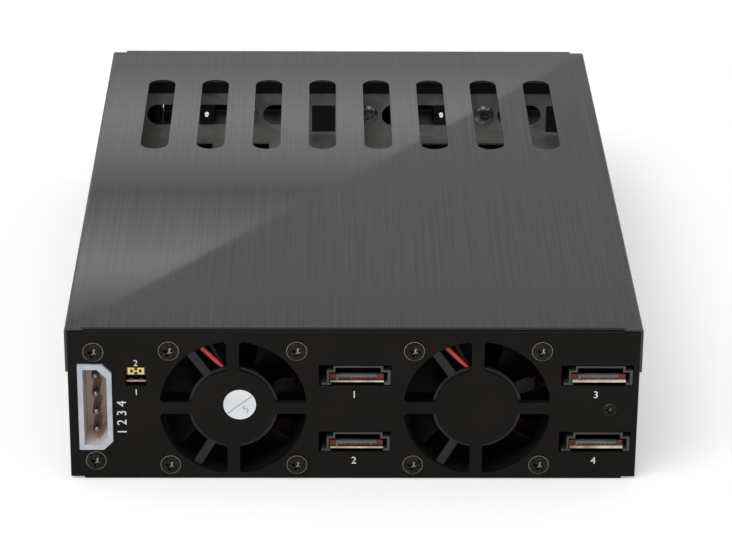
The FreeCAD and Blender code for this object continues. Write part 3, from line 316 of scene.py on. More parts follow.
# Sizes in mm, and the blade's span round the axis and its sweep in degrees.
SHAFT_HOLE = 0.9
SLEEVE_RADIUS = 2.4
HUB_RADIUS = 10.3
CUP_WALL = 1.0
PLATE_RADIUS = 11.3
PLATE_RIM = 0.5
RIM_DEPTH = 0.9
BLADES = 7
TIP_RADIUS = 18.25
BLADE_FOOT = 0.5
BLADE_THICKNESS = 0.9
BLADE_CAMBER = 1.1
BLADE_SPAN = 44
BLADE_SWEEP = 6
LEADING_GAP = 0.9
TRAILING_GAP = 1.1
# Points this near in mm are one point, and edges sharper than the angle stay crisp.
SAME_POINT = 0.0001
SMOOTH_ANGLE = math.radians(35)


def spun(rings, steps=64):
    """A closed solid turned about the Y axis from pairs of radius and distance along, in mm."""
    solid = bmesh.new()
    points = [solid.verts.new((radius, along, 0)) for radius, along in rings]
    profile = [solid.edges.new(pair) for pair in zip(points, points[1:])]
    bmesh.ops.spin(solid, geom=points + profile, axis=(0, 1, 0), angle=math.tau, steps=steps,
                   use_merge=True)
    bmesh.ops.remove_doubles(solid, verts=solid.verts, dist=SAME_POINT)
    bmesh.ops.recalc_face_normals(solid, faces=solid.faces)
    return solid


def put(solid, matrix):
    """Moves everything in a bmesh by a matrix."""
    bmesh.ops.transform(solid, matrix=matrix, verts=solid.verts)


def take_in(whole, part, matrix=Matrix()):
    """Adds a copy of one bmesh, moved by a matrix, to another."""
    mesh = bpy.data.meshes.new("part")
    copy = part.copy()
    put(copy, matrix)
    copy.to_mesh(mesh)
    whole.from_mesh(mesh)
    copy.free()
    bpy.data.meshes.remove(mesh)


def make_piece(name, solid, material, body, slot, *replaced):
    """Makes a piece from a bmesh in mm, gives it its material, and fixes it to its body."""
    put(solid, Matrix.Scale(MM, 4))
    mesh = bpy.data.meshes.new(name)
    solid.to_mesh(mesh)
    solid.free()
    mesh.materials.append(material)
    mesh.shade_smooth()
    mesh.set_sharp_from_angle(angle=SMOOTH_ANGLE)
    made = bpy.data.objects.new(name, mesh)
    bpy.context.scene.collection.objects.link(made)
    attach(made, body)
    if replaced:
        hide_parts(*replaced)
    return made


def middle_of(node):
    """The middle of a CAD node's box, in mm."""
    low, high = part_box(node)
    return (low + high) / 2 / MM


def shift(x, y, z):
    """A move by three distances."""
    return Matrix.Translation((x, y, z))


def fan_blade(root, tip, front, back):
    """One blade: a grid bent round the axis, pitched, cambered between its edges, and thickened."""
    blade = bmesh.new()
    bmesh.ops.create_grid(blade, x_segments=10, y_segments=8, size=0.5)
    for vert in blade.verts:
        chord, reach = vert.co.x, vert.co.y + 0.5
        radius = root + (tip - root) * reach
        angle = math.radians(chord * BLADE_SPAN - BLADE_SWEEP * reach)
        camber = BLADE_CAMBER * (0.25 - chord * chord)
        along = front + (back - front) * (chord + 0.5) + camber
        vert.co = (radius * math.sin(angle), along, radius * math.cos(angle))
    bmesh.ops.solidify(blade, geom=blade.faces[:], thickness=BLADE_THICKNESS)
    bmesh.ops.recalc_face_normals(blade, faces=blade.faces)
    return blade


for side in ("left", "right"):
    centre = middle_of(f"{side}_fan_frame")
    low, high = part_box(f"{side}_fan_rotor")
    front, back = low.y / MM, high.y / MM
    rotor = spun([
        (SHAFT_HOLE, front), (HUB_RADIUS - 0.8, front), (HUB_RADIUS - 0.2, front + 0.25),
        (HUB_RADIUS, front + 0.9), (HUB_RADIUS, back), (HUB_RADIUS - CUP_WALL, back),
        (HUB_RADIUS - CUP_WALL, front + CUP_WALL), (SLEEVE_RADIUS, front + CUP_WALL),
        (SLEEVE_RADIUS, back), (SHAFT_HOLE, back), (SHAFT_HOLE, front),
    ])
    blade = fan_blade(HUB_RADIUS - BLADE_FOOT, TIP_RADIUS, front + LEADING_GAP,
                      back - TRAILING_GAP)
    for step in range(BLADES):
        take_in(rotor, blade, Matrix.Rotation(math.tau * step / BLADES, 4, "Y"))
    blade.free()
    put(rotor, shift(centre.x, 0, centre.z))
    make_piece(f"{side}_rotor", rotor, rotor_and_shade_polyester, f"{side}_fan_rotor", "black_fan_plastic",
               f"{side}_fan_rotor")
    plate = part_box(f"{side}_fan_frame")[0].y / MM
    rim = spun([
        (PLATE_RADIUS - PLATE_RIM, plate + RIM_DEPTH), (PLATE_RADIUS - PLATE_RIM, plate + 0.05),
        (PLATE_RADIUS - 0.15, plate + 0.01), (PLATE_RADIUS, plate + 0.08),
        (PLATE_RADIUS + 0.06, plate + 0.25), (PLATE_RADIUS + 0.06, plate + RIM_DEPTH),
        (PLATE_RADIUS - PLATE_RIM, plate + RIM_DEPTH),
    ], steps=96)
    put(rim, shift(centre.x, 0, centre.z))
    make_piece(f"{side}_motor_plate_rim", rim, frame_polyester, "cage", "black_fan_plastic")

# ---- Fan leads ----
# Each fan has a red and a black lead of stranded wire in soft PVC. They leave the motor's plate,
# lie side by side in the channel beside the upper strut and go over the frame's rim.
# Sizes in mm. The routes are X and Z from the fan's centre, behind the frame's front face.
LEAD_RADIUS = 0.6
LEAD_DEPTH = 1.15
RED_ROUTE = ((-2.5, 10.9), (-4.4, 12.6), (-6.2, 14.4), (-8.0, 16.3))
BLACK_ROUTE = ((-2.2, 11.4), (-3.4, 13.0), (-4.3, 15.0), (-5.6, 17.3))
# Extruded PVC: even colour with a soft waxy shine and faint streaks 1.5 mm across.
STREAK_WIDTH = 1.5 * MM
STREAK_RELIEF = 0.03 * MM


def pvc(name, dark, light, gloss):
    """Faint streaks in the colour and the bump."""
    material, tree, surface = new_material(name, Roughness=0.35, Specular_IOR_Level=gloss)
    place = add_node(tree, "ShaderNodeTexCoord", {}).outputs["Object"]
    streaks = add_node(tree, "ShaderNodeTexNoise", {
        "Vector": place, "Scale": 1 / STREAK_WIDTH, "Detail": 2.0,
    }).outputs["Fac"]
    colour = add_node(tree, "ShaderNodeMix", {
        0: streaks, 6: linear(dark), 7: linear(light),
    }, data_type="RGBA").outputs[2]
    bump = add_node(tree, "ShaderNodeBump", {
        "Height": streaks, "Strength": 0.1, "Distance": STREAK_RELIEF,
    }).outputs["Normal"]
    tree.links.new(colour, surface.inputs["Base Color"])
    tree.links.new(bump, surface.inputs["Normal"])
    return material


def lead(route, centre, depth):
    """A round lead along a smooth line through a few points, given from the fan's centre."""
    curve = bpy.data.curves.new("lead", "CURVE")
    curve.dimensions = "3D"
    curve.bevel_depth = LEAD_RADIUS
    curve.bevel_resolution = 4
    curve.use_fill_caps = True
    spline = curve.splines.new("NURBS")
    spline.points.add(len(route) - 1)
    for point, (x, z) in zip(spline.points, route):
        point.co = (centre.x + x, depth, centre.z + z, 1)
    spline.order_u = 3
    spline.use_endpoint_u = True
    holder = bpy.data.objects.new("lead", curve)
    mesh = bpy.data.meshes.new_from_object(holder)
    solid = bmesh.new()
    solid.from_mesh(mesh)
    bpy.data.objects.remove(holder)
    bpy.data.meshes.remove(mesh)
    return solid


red_pvc = pvc("red_pvc", "#b8302f", "#d24b47", gloss=0.45)
black_pvc = pvc("black_pvc", "#0a0909", "#110f0f", gloss=0.12)
for side in ("left", "right"):
    centre = middle_of(f"{side}_fan_frame")
    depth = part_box(f"{side}_fan_frame")[0].y / MM + LEAD_DEPTH
    make_piece(f"{side}_red_lead", lead(RED_ROUTE, centre, depth), red_pvc, "cage",
               "red_lead_insulation", f"{side}_fan_leads")
    make_piece(f"{side}_black_lead", lead(BLACK_ROUTE, centre, depth), black_pvc, "cage",
               "red_lead_insulation")

# ---- Screws ----
# Small cross-recessed machine screws of hardened steel, with cold-formed heads: pan heads on the
# panel and the bezels, and countersunk ones on the cover's sides and over the board.
# Sizes in mm, the recess's turn in degrees, and the shares of its mouth that its foot has.
PAN_RADIUS = 2.6
PAN_HEIGHT = 1.0
SHANK_RADIUS = 1.2
COVER_SCREW_LENGTH = 1.7
SUNK_LAND = 0.1
RECESS_TURN = 20
FOOT_LENGTH = 0.55
FOOT_WIDTH = 0.6
# Where the painted highlight and glint go, on the head's rim and one side of the recess's foot:
# shares of the head's radius, depths below its top, and how bright.
RIM_FROM = 0.96
RIM_HIGHLIGHT = 0.8
FOOT_RIGHT_OF = 0.05
FOOT_WITHIN = 0.75
FOOT_DEPTHS = (0.3, 1.2)


def cross_recessed(head, width, length, depth):
    """A screw with a tapered cross sunk in the top of its head, which faces -Y."""
    mesh = bpy.data.meshes.new("screw")
    head.to_mesh(mesh)
    head.free()
    screw = bpy.data.objects.new("screw", mesh)
    bpy.context.scene.collection.objects.link(screw)
    top = min(vert.co.y for vert in mesh.vertices)
    cutters = []
    for turn in (0, 90):
        bar = bmesh.new()
        bmesh.ops.create_cube(bar, size=1)
        put(bar, Matrix.Diagonal((length, 2 * depth, width, 1)))
        inner = [vert for vert in bar.verts if vert.co.y > 0]
        bmesh.ops.scale(bar, vec=(FOOT_LENGTH, 1, FOOT_WIDTH), verts=inner)
        put(bar, shift(0, top, 0) @ Matrix.Rotation(math.radians(turn + RECESS_TURN), 4, "Y"))
        cutter_mesh = bpy.data.meshes.new("cutter")
        bar.to_mesh(cutter_mesh)
        bar.free()
        cutter = bpy.data.objects.new("cutter", cutter_mesh)
        bpy.context.scene.collection.objects.link(cutter)
        cutters.append(cutter)
        cut = screw.modifiers.new("recess", "BOOLEAN")
        cut.operation = "DIFFERENCE"
        cut.solver = "EXACT"
        cut.object = cutter
    bpy.context.view_layer.update()
    finished = bpy.data.meshes.new_from_object(screw.evaluated_get(
        bpy.context.evaluated_depsgraph_get()))
    solid = bmesh.new()
    solid.from_mesh(finished)
    for used in (screw, *cutters):
        bpy.data.objects.remove(used)
    bpy.data.meshes.remove(finished)
    return solid


def length_of(node):
    """A CAD node's length along Y, in mm."""
    low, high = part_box(node)
    return (high.y - low.y) / MM


def pan_head(node, radius):
    """A pan head screw as long as a CAD node, with the underside of its head at Y = 0."""
    length = length_of(node) - PAN_HEIGHT
    head = spun([
        (0, -PAN_HEIGHT), (0.45 * radius, -PAN_HEIGHT), (0.78 * radius, -0.86 * PAN_HEIGHT),
        (0.92 * radius, -0.6 * PAN_HEIGHT), (0.95 * radius, -0.3 * PAN_HEIGHT),
        (radius, -0.25 * PAN_HEIGHT), (radius, 0), (SHANK_RADIUS, 0), (SHANK_RADIUS, length),
        (0, length),
    ], steps=32)
    return cross_recessed(head, width=0.3 * radius, length=1.25 * radius, depth=0.7 * PAN_HEIGHT)


def sunk_head(radius, length):
    """A countersunk screw with the top of its head at Y = 0."""
    head = spun([
        (0, 0), (radius - SUNK_LAND, 0), (radius, SUNK_LAND),
        (SHANK_RADIUS, radius - SHANK_RADIUS + SUNK_LAND), (SHANK_RADIUS, length), (0, length),
    ], steps=32)
    return cross_recessed(head, width=0.28 * radius, length=1.2 * radius, depth=0.5 * radius)


# Zinc plate passivated black or left bright: hard metal with tumbling marks 0.5 mm long. It takes
# the light colour where a screw marks a painted glint and, as far as its edge setting goes, on
# sharp edges, partly wear and partly painted highlight.
TUMBLING_MARK = 0.5 * MM
MARK_STRENGTH = 0.05


def plated_metal(name, dark, light, roughness, edge_wear_and_highlight=1.0):
    """Dark plate, light where a painted glint is marked and on sharp edges, wear and highlight."""
    material, tree, surface = new_material(name, Metallic=1.0)
    place = add_node(tree, "ShaderNodeTexCoord", {}).outputs["Object"]
    marks = add_node(tree, "ShaderNodeTexNoise", {
        "Vector": place, "Scale": 1 / TUMBLING_MARK, "Detail": 3.0,
    }).outputs["Fac"]
    spread = add_node(tree, "ShaderNodeMapRange", {
        "Value": marks, "From Min": 0.35, "From Max": 0.7,
    }).outputs["Result"]
    # Sharp edges take the light colour: partly edge wear, partly painted highlight.
    edges = add_node(tree, "ShaderNodeNewGeometry", {}).outputs["Pointiness"]
    worn_and_highlit_edges = add_node(tree, "ShaderNodeMapRange", {
        "Value": edges, "From Min": 0.53, "From Max": 0.66, "To Max": edge_wear_and_highlight,
    }).outputs["Result"]
    # Painted highlight and glint: the light colour wherever a screw marks it.
    painted_glint = add_node(tree, "ShaderNodeAttribute", {}, attribute_name="painted_glint").outputs["Fac"]
    faint = add_node(tree, "ShaderNodeMath", {
        0: spread, 1: MARK_STRENGTH,
    }, operation="MULTIPLY").outputs[0]
    edge = add_node(tree, "ShaderNodeMath", {0: painted_glint, 1: worn_and_highlit_edges}, operation="MAXIMUM").outputs[0]
    bright = add_node(tree, "ShaderNodeMath", {0: faint, 1: edge}, operation="MAXIMUM").outputs[0]
    colour = add_node(tree, "ShaderNodeMix", {
        0: bright, 6: linear(dark), 7: linear(light),
    }, data_type="RGBA").outputs[2]
    sheen = add_node(tree, "ShaderNodeMapRange", {
        "Value": marks, "To Min": roughness - 0.08, "To Max": roughness + 0.1,
    }).outputs["Result"]
    tree.links.new(colour, surface.inputs["Base Color"])
    tree.links.new(sheen, surface.inputs["Roughness"])
    return material


black_passivated_zinc = plated_metal(
    "black_passivated_zinc", "#161513", "#bdb8ae", roughness=0.27, edge_wear_and_highlight=0.0)
bright_zinc = plated_metal("bright_zinc", "#8f9296", "#c3c6ca", roughness=0.25)


def mark_rubbed(screw):
    """Marks the rim of a head and one side of its recess's foot for a painted highlight and glint.
    """
    painted_glint = screw.verts.layers.float.new("painted_glint")
    radius = max(math.hypot(vert.co.x, vert.co.z) for vert in screw.verts)
    top = min(vert.co.y for vert in screw.verts)
    # The rim ring is a painted highlight, and the one-sided foot of the recess a painted glint.
    for vert in screw.verts:
        out = math.hypot(vert.co.x, vert.co.z) / radius
        at_foot = FOOT_DEPTHS[0] < vert.co.y - top < FOOT_DEPTHS[1]
        if out > RIM_FROM:
            vert[painted_glint] = RIM_HIGHLIGHT
        elif at_foot and vert.co.x > FOOT_RIGHT_OF * radius and out < FOOT_WITHIN:
            vert[painted_glint] = 1


def screw_group(node, screw, places, material, body, slot):
    """Copies of one screw at their places, as one piece in place of a CAD node."""
    whole = bmesh.new()
    mark_rubbed(screw)
    for place in places:
        take_in(whole, screw, place)
    screw.free()
    make_piece(f"{node}_recessed", whole, material, body, slot, node)


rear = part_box("rear_panel")[0].y / MM
low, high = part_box("fan_screws")
fan_corner = (high.z - low.z) / MM / 2 - PAN_RADIUS
fan_places = []
for side in ("left", "right"):
    centre = middle_of(f"{side}_fan_frame")
    for x in (-fan_corner, fan_corner):
        for z in (-fan_corner, fan_corner):
            fan_places.append(shift(centre.x + x, rear, centre.z + z))
screw_group("fan_screws", pan_head("fan_screws", PAN_RADIUS), fan_places, black_passivated_zinc,
            "cage", "black_screw_steel")
low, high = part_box("inlet_screws")
inlet_x = (low.x + high.x) / 2 / MM
inlet_places = [shift(inlet_x, rear, z)
                for z in (low.z / MM + PAN_RADIUS, high.z / MM - PAN_RADIUS)]
screw_group("inlet_screws", pan_head("inlet_screws", PAN_RADIUS), inlet_places,
            black_passivated_zinc, "cage", "black_screw_steel")
low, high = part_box("board_screw")
sunk_radius = (high.x - low.x) / MM / 2
centre = middle_of("board_screw")
screw_group("board_screw", sunk_head(sunk_radius, length_of("board_screw")),
            [shift(centre.x, rear, centre.z)], black_passivated_zinc, "cage", "black_screw_steel")
low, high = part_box("cover_screws")
height = (low.z + high.z) / 2 / MM
cover_places = []
for face, turn in ((high.x / MM, 90), (low.x / MM, -90)):
    for along in (low.y / MM + sunk_radius, high.y / MM - sunk_radius):
        cover_places.append(shift(face, along, height)
                            @ Matrix.Rotation(math.radians(turn), 4, "Z"))
screw_group("cover_screws", sunk_head(sunk_radius, COVER_SCREW_LENGTH), cover_places,
            black_passivated_zinc, "cage", "black_screw_steel")
for tray in TRAYS:
    low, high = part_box(f"{tray}_bezel_screws")
    radius = (high.z - low.z) / MM / 2
    height = (low.z + high.z) / 2 / MM
    along = low.y / MM + PAN_HEIGHT
    bezel_places = [shift(x, along, height)
                    for x in (low.x / MM + radius, high.x / MM - radius)]
    screw_group(f"{tray}_bezel_screws", pan_head(f"{tray}_bezel_screws", radius), bezel_places,
                bright_zinc, tray, "bright_steel")

# ---- Data ports ----
# Four seven-contact data sockets. Each has a thin stepped shell, a tongue whose end turns down,
# and a pale lip below, and the red board shows in the gap between them.
# Socket plastic: dark grey, a little shiny. The lip is the same plastic undyed.
grey_socket_plastic = moulded_plastic(
    "grey_socket_plastic", "#333334", "#434343", roughness=0.33, stipple=0.3 * MM, strength=0.15)
grey_tongue_plastic = moulded_plastic(
    "grey_tongue_plastic", "#4e5053", "#63656a", roughness=0.3, stipple=0.3 * MM, strength=0.15)
undyed_socket_plastic = moulded_plastic(
    "undyed_socket_plastic", "#8a7a6c", "#e2d8cc", roughness=0.4, stipple=0.6 * MM, strength=0.3)
# The board's milled edge: red mask over pale laminate, dull.
red_board_edge = moulded_plastic(
    "red_masked_board_edge", "#4e130f", "#6b1d17", roughness=0.4, stipple=0.5 * MM, strength=0.2)
# Tin plate: soft bright metal, warm grey where flat, finely crazed, and pale on its sharp edges,
# partly wear and partly painted highlight.
tinned_brass = plated_metal("tinned_brass", "#6b6055", "#f1ebe3", roughness=0.2)
# Outlines are X and Z in mm from the middle of the socket's mouth, and depths are behind its rim.
SHELL_HALF_WIDTH = 8.05
SHELL = (
    (-9.4, -2.6), (-9.4, -2.1), (-8.05, -2.1), (-8.05, 1.4), (-6.4, 1.4), (-6.4, 2.65), (6.2, 2.65),
    (6.2, 1.4), (8.05, 1.4), (8.05, -2.6), (6.4, -2.6), (6.4, -2.0), (7.35, -2.0), (7.35, 0.95),
    (5.6, 0.95), (5.6, 2.2), (-5.9, 2.2), (-5.9, 0.95), (-7.55, 0.95), (-7.55, -2.1), (-7.0, -2.1),
    (-7.0, -2.6),
)
HOLLOW = ((-7.6, -2.1), (-7.6, 1.0), (-6.0, 1.0), (-6.0, 2.3), (5.7, 2.3), (5.7, 1.0), (7.4, 1.0),
          (7.4, -2.1))
HOLLOW_DEPTH = 3.2
BOARD_EDGE = ((-7.4, -1.8), (-7.4, 0.05), (6.3, 0.05), (6.3, -1.8))
BOARD_EDGE_DEPTHS = (0.9, 1.5)
TONGUE = ((-5.7, -1.5), (-5.7, 0.1), (4.6, 0.1), (4.6, -0.6), (-5.1, -0.6), (-5.1, -1.5))
TONGUE_DEPTHS = (0.3, 1.3)
LIP_LEFT, LIP_RIGHT, LIP_FOOT = -7.2, 6.4, -2.0
LIP_DEPTH = 0.2
LIP_SIZES = {1: (0.4, 0.4), 2: (0.4, 0.4), 3: (0.55, 1.1), 4: (0.55, 1.1)}
CONTACTS = 7
CONTACT_PITCH = 1.27
CONTACTS_MIDDLE = -0.6
CONTACT = (-0.16, 0.16, -1.15, -0.9)
CONTACT_DEPTHS = (0.75, 1)
EDGE_ROUNDING = 0.06


def prism(outline, front, back):
    """A closed prism from an outline of X and Z in mm, between two distances along Y."""
    solid = bmesh.new()
    face = solid.faces.new([solid.verts.new((x, front, z)) for x, z in outline])
    grown = bmesh.ops.extrude_face_region(solid, geom=[face])["geom"]
    far = [item for item in grown if isinstance(item, bmesh.types.BMVert)]
    bmesh.ops.translate(solid, vec=(0, back - front, 0), verts=far)
    bmesh.ops.recalc_face_normals(solid, faces=solid.faces)
    return solid


def slab(left, right, low, high, front, back):
    """A rectangular bar with softened edges."""
    solid = prism(((left, low), (left, high), (right, high), (right, low)), front, back)
    bmesh.ops.bevel(solid, geom=solid.edges[:], offset=EDGE_ROUNDING, offset_type="OFFSET",
                    segments=2, profile=0.5, affect="EDGES", material=-1)
    return solid


PORTS = [f"data_port_{number}" for number in range(1, 5)]
for number, port in enumerate(PORTS, 1):
    low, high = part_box(port)
    front, back = low.y / MM, high.y / MM
    place = shift(high.x / MM - SHELL_HALF_WIDTH, 0, (low.z + high.z) / 2 / MM)
    shell = prism(SHELL, front, back)
    put(shell, place)
    make_piece(f"{port}_shell", shell, grey_socket_plastic, "cage", "black_connector_nylon", port)
    # Painted shade: the back of each socket's mouth is a block of the rotor's near-black, dull
    # plastic.
    painted_shade_block = prism(HOLLOW, front + HOLLOW_DEPTH, back)
    put(painted_shade_block, place)
    make_piece(f"{port}_hollow", painted_shade_block, rotor_and_shade_polyester, "cage", "black_connector_nylon")
    edge = prism(BOARD_EDGE, *(front + depth for depth in BOARD_EDGE_DEPTHS))
    put(edge, place)
    make_piece(f"{port}_board_edge", edge, red_board_edge, "cage", "red_board_laminate")
    tongue = prism(TONGUE, *(front + depth for depth in TONGUE_DEPTHS))
    put(tongue, place)
    make_piece(f"{port}_tongue", tongue, grey_tongue_plastic, "cage", "black_connector_nylon")
    lip_height, lip_length = LIP_SIZES[number]
    lip = slab(LIP_LEFT, LIP_RIGHT, LIP_FOOT, lip_height + LIP_FOOT,
               front + LIP_DEPTH, front + LIP_DEPTH + lip_length)
    put(lip, place)
    make_piece(f"{port}_lip", lip, undyed_socket_plastic, "cage", "natural_nylon")
    contacts = bmesh.new()
    contact = slab(*CONTACT, *(front + depth for depth in CONTACT_DEPTHS))
    for step in range(CONTACTS):
        across = (step - (CONTACTS - 1) / 2) * CONTACT_PITCH + CONTACTS_MIDDLE
        take_in(contacts, contact, place @ shift(across, 0, 0))
    contact.free()
    make_piece(f"{port}_contacts", contacts, tinned_brass, "cage", "tinned_brass")

# ---- Power inlet ----
# An open nylon shell with two cut corners, and four round pins of tin-plated brass in it.
# Natural nylon: cool milky white, faintly mottled, with a soft gloss. From 0.4 mm inside the rim
# to 3 mm it turns a paler warm colour: painted reflected light, the brown of the pins and the red
# of the board behind it.
PAINTED_BOUNCE_START = 0.4 * MM
PAINTED_BOUNCE_FULL = 3 * MM
natural_nylon = moulded_plastic(
    "natural_nylon", "#b3b8c1", "#c6cad2", roughness=0.34, stipple=0.4 * MM, strength=0.2)
tree = natural_nylon.node_tree
surface = tree.nodes["Principled BSDF"]
place = add_node(tree, "ShaderNodeTexCoord", {}).outputs["Object"]
along = add_node(tree, "ShaderNodeSeparateXYZ", {"Vector": place}).outputs["Y"]
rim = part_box("power_inlet")[0].y
inside = add_node(tree, "ShaderNodeMapRange", {
    "Value": along, "From Min": rim + PAINTED_BOUNCE_START, "From Max": rim + PAINTED_BOUNCE_FULL,
}).outputs["Result"]
mottled = surface.inputs["Base Color"].links[0].from_socket
# Painted reflected light: deeper in, the nylon takes a paler, warmer colour.
painted_bounce = add_node(tree, "ShaderNodeMix", {
    0: inside, 6: mottled, 7: linear("#e8d8d1"),
}, data_type="RGBA").outputs[2]
tree.links.new(painted_bounce, surface.inputs["Base Color"])
dress(natural_nylon, "power_inlet")
PINS = 4
PIN_RADIUS = 1.05
low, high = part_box("power_pins")
pin_length = length_of("power_pins")
pin = spun([
    (0, 0), (0.3, 0.02), (0.62, 0.2), (0.88, 0.55), (1.0, 1.0), (PIN_RADIUS, 1.6),
    (PIN_RADIUS, pin_length), (0, pin_length),
], steps=32)
pin_pitch = ((high.z - low.z) / MM - 2 * PIN_RADIUS) / (PINS - 1)
pins = bmesh.new()
for step in range(PINS):
    height = low.z / MM + PIN_RADIUS + step * pin_pitch
    take_in(pins, pin, shift((low.x + high.x) / 2 / MM, low.y / MM, height))
pin.free()
make_piece("power_pins_rounded", pins, tinned_brass, "cage", "tinned_brass", "power_pins")

# ---- Speed header and its jumper cap ----
# Four square gold-plated pins in a black block, and a moulded cap that bridges the upper two.
# The cap's clip shows as a folded gold tongue in each of its two holes.
dress(black_connector_nylon, "speed_header")
amber_cap = moulded_plastic(
    "amber_jumper_cap", "#3a1a08", "#5a2c0c", roughness=0.3, stipple=0.3 * MM, strength=0.1)
dress(amber_cap, "jumper_cap")
# Gold flash over folded brass: warm yellow, paler on its sharp edges, partly wear and partly
# painted highlight.
gold_flashed_brass = plated_metal("gold_flashed_brass", "#c9a544", "#f6e9a8", roughness=0.3)
# The clip's bars and the pale rib below the cap: left, right, bottom and top in mm from the middle
# of the cap and of the header. A bar on the left is turned over for the right as well.
CLIP_BARS = (
    (-2.1, -1.4, -0.95, 0.95), (-1.5, -0.4, 0.45, 0.95), (-1.5, -0.4, -0.95, -0.45),
    (-0.8, -0.4, -0.5, 0.5), (-0.5, 0.5, -0.2, 0.2),
)
CLIP_PROUD = 0.05
CLIP_DEPTH = 1
RIB = (-2.5, 2.5, -1.95, -1.5)
RIB_DEPTHS = (0.3, 0.9)
cap_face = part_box("jumper_cap")[0].y / MM
cap = middle_of("jumper_cap")
clip = bmesh.new()
for left, right, low, high in CLIP_BARS:
    bar = slab(left, right, low, high, cap_face - CLIP_PROUD, cap_face + CLIP_DEPTH)
    take_in(clip, bar)
    if right < 0:
        take_in(clip, bar, Matrix.Rotation(math.pi, 4, "Y"))
    bar.free()
put(clip, shift(cap.x, 0, cap.z))
make_piece("jumper_clip", clip, gold_flashed_brass, "jumper_cap", "tinned_brass")
header = middle_of("speed_header")
rib = slab(*RIB, *(cap_face + depth for depth in RIB_DEPTHS))
put(rib, shift(header.x, 0, header.z))
pale_header_nylon = moulded_plastic(
    "pale_header_nylon", "#a89088", "#cdb8b0", roughness=0.4, stipple=0.4 * MM, strength=0.2)
make_piece("header_rib", rib, pale_header_nylon, "cage", "natural_nylon")

# ---- Inspection sticker ----
# A round of white coated paper stuck to the left fan guard, with a rule stamped across it and a
# number below the rule.
coated_white_paper = moulded_plastic(
    "coated_white_paper", "#e6e8ea", "#f3f4f5", roughness=0.55, stipple=0.2 * MM, strength=0.2)
dress(coated_white_paper, "inspection_sticker")
# Sizes in mm from the sticker's middle, and its turn in degrees.
INK_HALF_THICKNESS = 0.01
RULE_HALF_LENGTH = 3.9
RULE_HALF_WIDTH = 0.1
RULE_HALF_THICKNESS = 0.02
STICKER_TURN = -38
STICKER_NUMBER_HEIGHT = 1.8
STICKER_NUMBER_RIGHT, STICKER_NUMBER_DOWN = 1.5, 1.3


def printed(name, words, height, x, y, z, turn, ink):
    """Flat printing that faces -Y: text made a mesh, sized by its height in mm, then placed."""
    curve = bpy.data.curves.new(name, "FONT")
    curve.body = words
    curve.extrude = INK_HALF_THICKNESS
    curve.align_x = "CENTER"
    holder = bpy.data.objects.new(name, curve)
    mesh = bpy.data.meshes.new_from_object(holder)
    bpy.data.objects.remove(holder)
    solid = bmesh.new()
    solid.from_mesh(mesh)
    bpy.data.meshes.remove(mesh)
    bmesh.ops.remove_doubles(solid, verts=solid.verts, dist=SAME_POINT)
    across = [vert.co.x for vert in solid.verts]
    up = [vert.co.y for vert in solid.verts]
    tall = max(up) - min(up)
    put(solid, shift(-(max(across) + min(across)) / 2, -min(up) - tall / 2, 0))
    put(solid, Matrix.Diagonal((height / tall, height / tall, 1, 1)))
    put(solid, shift(x, y, z) @ Matrix.Rotation(math.radians(turn), 4, "Y")
        @ Matrix.Rotation(math.pi / 2, 4, "X"))
    make_piece(name, solid, ink, "cage", "white_paper")


# Stamp ink: thin blue-grey, paler where the stamp pressed less.
stamp_ink = moulded_plastic(
    "blue_grey_stamp_ink", "#7f8ca2", "#98a3b4", roughness=0.6, stipple=0.2 * MM, strength=0.1)
sticker = middle_of("inspection_sticker")
sticker_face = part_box("inspection_sticker")[0].y / MM
rule = prism((
    (-RULE_HALF_LENGTH, -RULE_HALF_WIDTH), (-RULE_HALF_LENGTH, RULE_HALF_WIDTH),
    (RULE_HALF_LENGTH, RULE_HALF_WIDTH), (RULE_HALF_LENGTH, -RULE_HALF_WIDTH),
), -RULE_HALF_THICKNESS, RULE_HALF_THICKNESS)
put(rule, shift(sticker.x, sticker_face, sticker.z)
    @ Matrix.Rotation(math.radians(STICKER_TURN), 4, "Y"))
make_piece("sticker_rule", rule, stamp_ink, "cage", "white_paper")
printed("sticker_number", "5", STICKER_NUMBER_HEIGHT, sticker.x + STICKER_NUMBER_RIGHT,
        sticker_face, sticker.z - STICKER_NUMBER_DOWN, STICKER_TURN, stamp_ink)

# ---- Printing on the panel ----
# Plain white numbers, screen printed: one under each port, one above and one below the header,
# and the numbers of the four pins beside the inlet.
# Sizes in mm from the middle of what each number belongs to.
PORT_NUMBER_HEIGHT = 1.95
PORT_NUMBER_LEFT, PORT_NUMBER_DOWN = 0.2, 5.35
ROW_NUMBER_HEIGHT = 1.65
ROW_NUMBERS = (("upper", "2", 3.8), ("lower", "1", -4.4))
PIN_NUMBER_HEIGHT = 2.4
PIN_NUMBER_RIGHT, PIN_NUMBER_DOWN = 6.6, 2.9
white_screen_ink = moulded_plastic(
    "white_screen_ink", "#dcdcda", "#efefed", roughness=0.5, stipple=0.15 * MM, strength=0.3)
ink_face = rear - INK_HALF_THICKNESS
for number, port in enumerate(PORTS, 1):
    centre = middle_of(port)
    printed(f"port_number_{number}", str(number), PORT_NUMBER_HEIGHT,
            centre.x - PORT_NUMBER_LEFT, ink_face, centre.z - PORT_NUMBER_DOWN, 0,
            white_screen_ink)
for row, number, lift in ROW_NUMBERS:
    printed(f"{row}_row_number", number, ROW_NUMBER_HEIGHT, header.x, ink_face, header.z + lift, 0,
            white_screen_ink)
inlet = middle_of("power_inlet")
printed("pin_numbers", "1 2 3 4", PIN_NUMBER_HEIGHT, inlet.x + PIN_NUMBER_RIGHT, ink_face,
        inlet.z - PIN_NUMBER_DOWN, -90, white_screen_ink)

# ---- Trays ----
# A moulded bezel closes each tray. Its lever is a grille on a steel pin, and a sprung button at
# the other end lets the lever go.
# Bezel and button plastic: black and grey ABS with a spark-eroded texture.
black_abs = moulded_plastic(
    "black_abs", "#141414", "#1d1d1d", roughness=0.48, stipple=0.3 * MM, strength=0.5)
grey_abs = moulded_plastic(
    "grey_abs", "#4b4b4d", "#5a5a5c", roughness=0.4, stipple=0.3 * MM, strength=0.4)
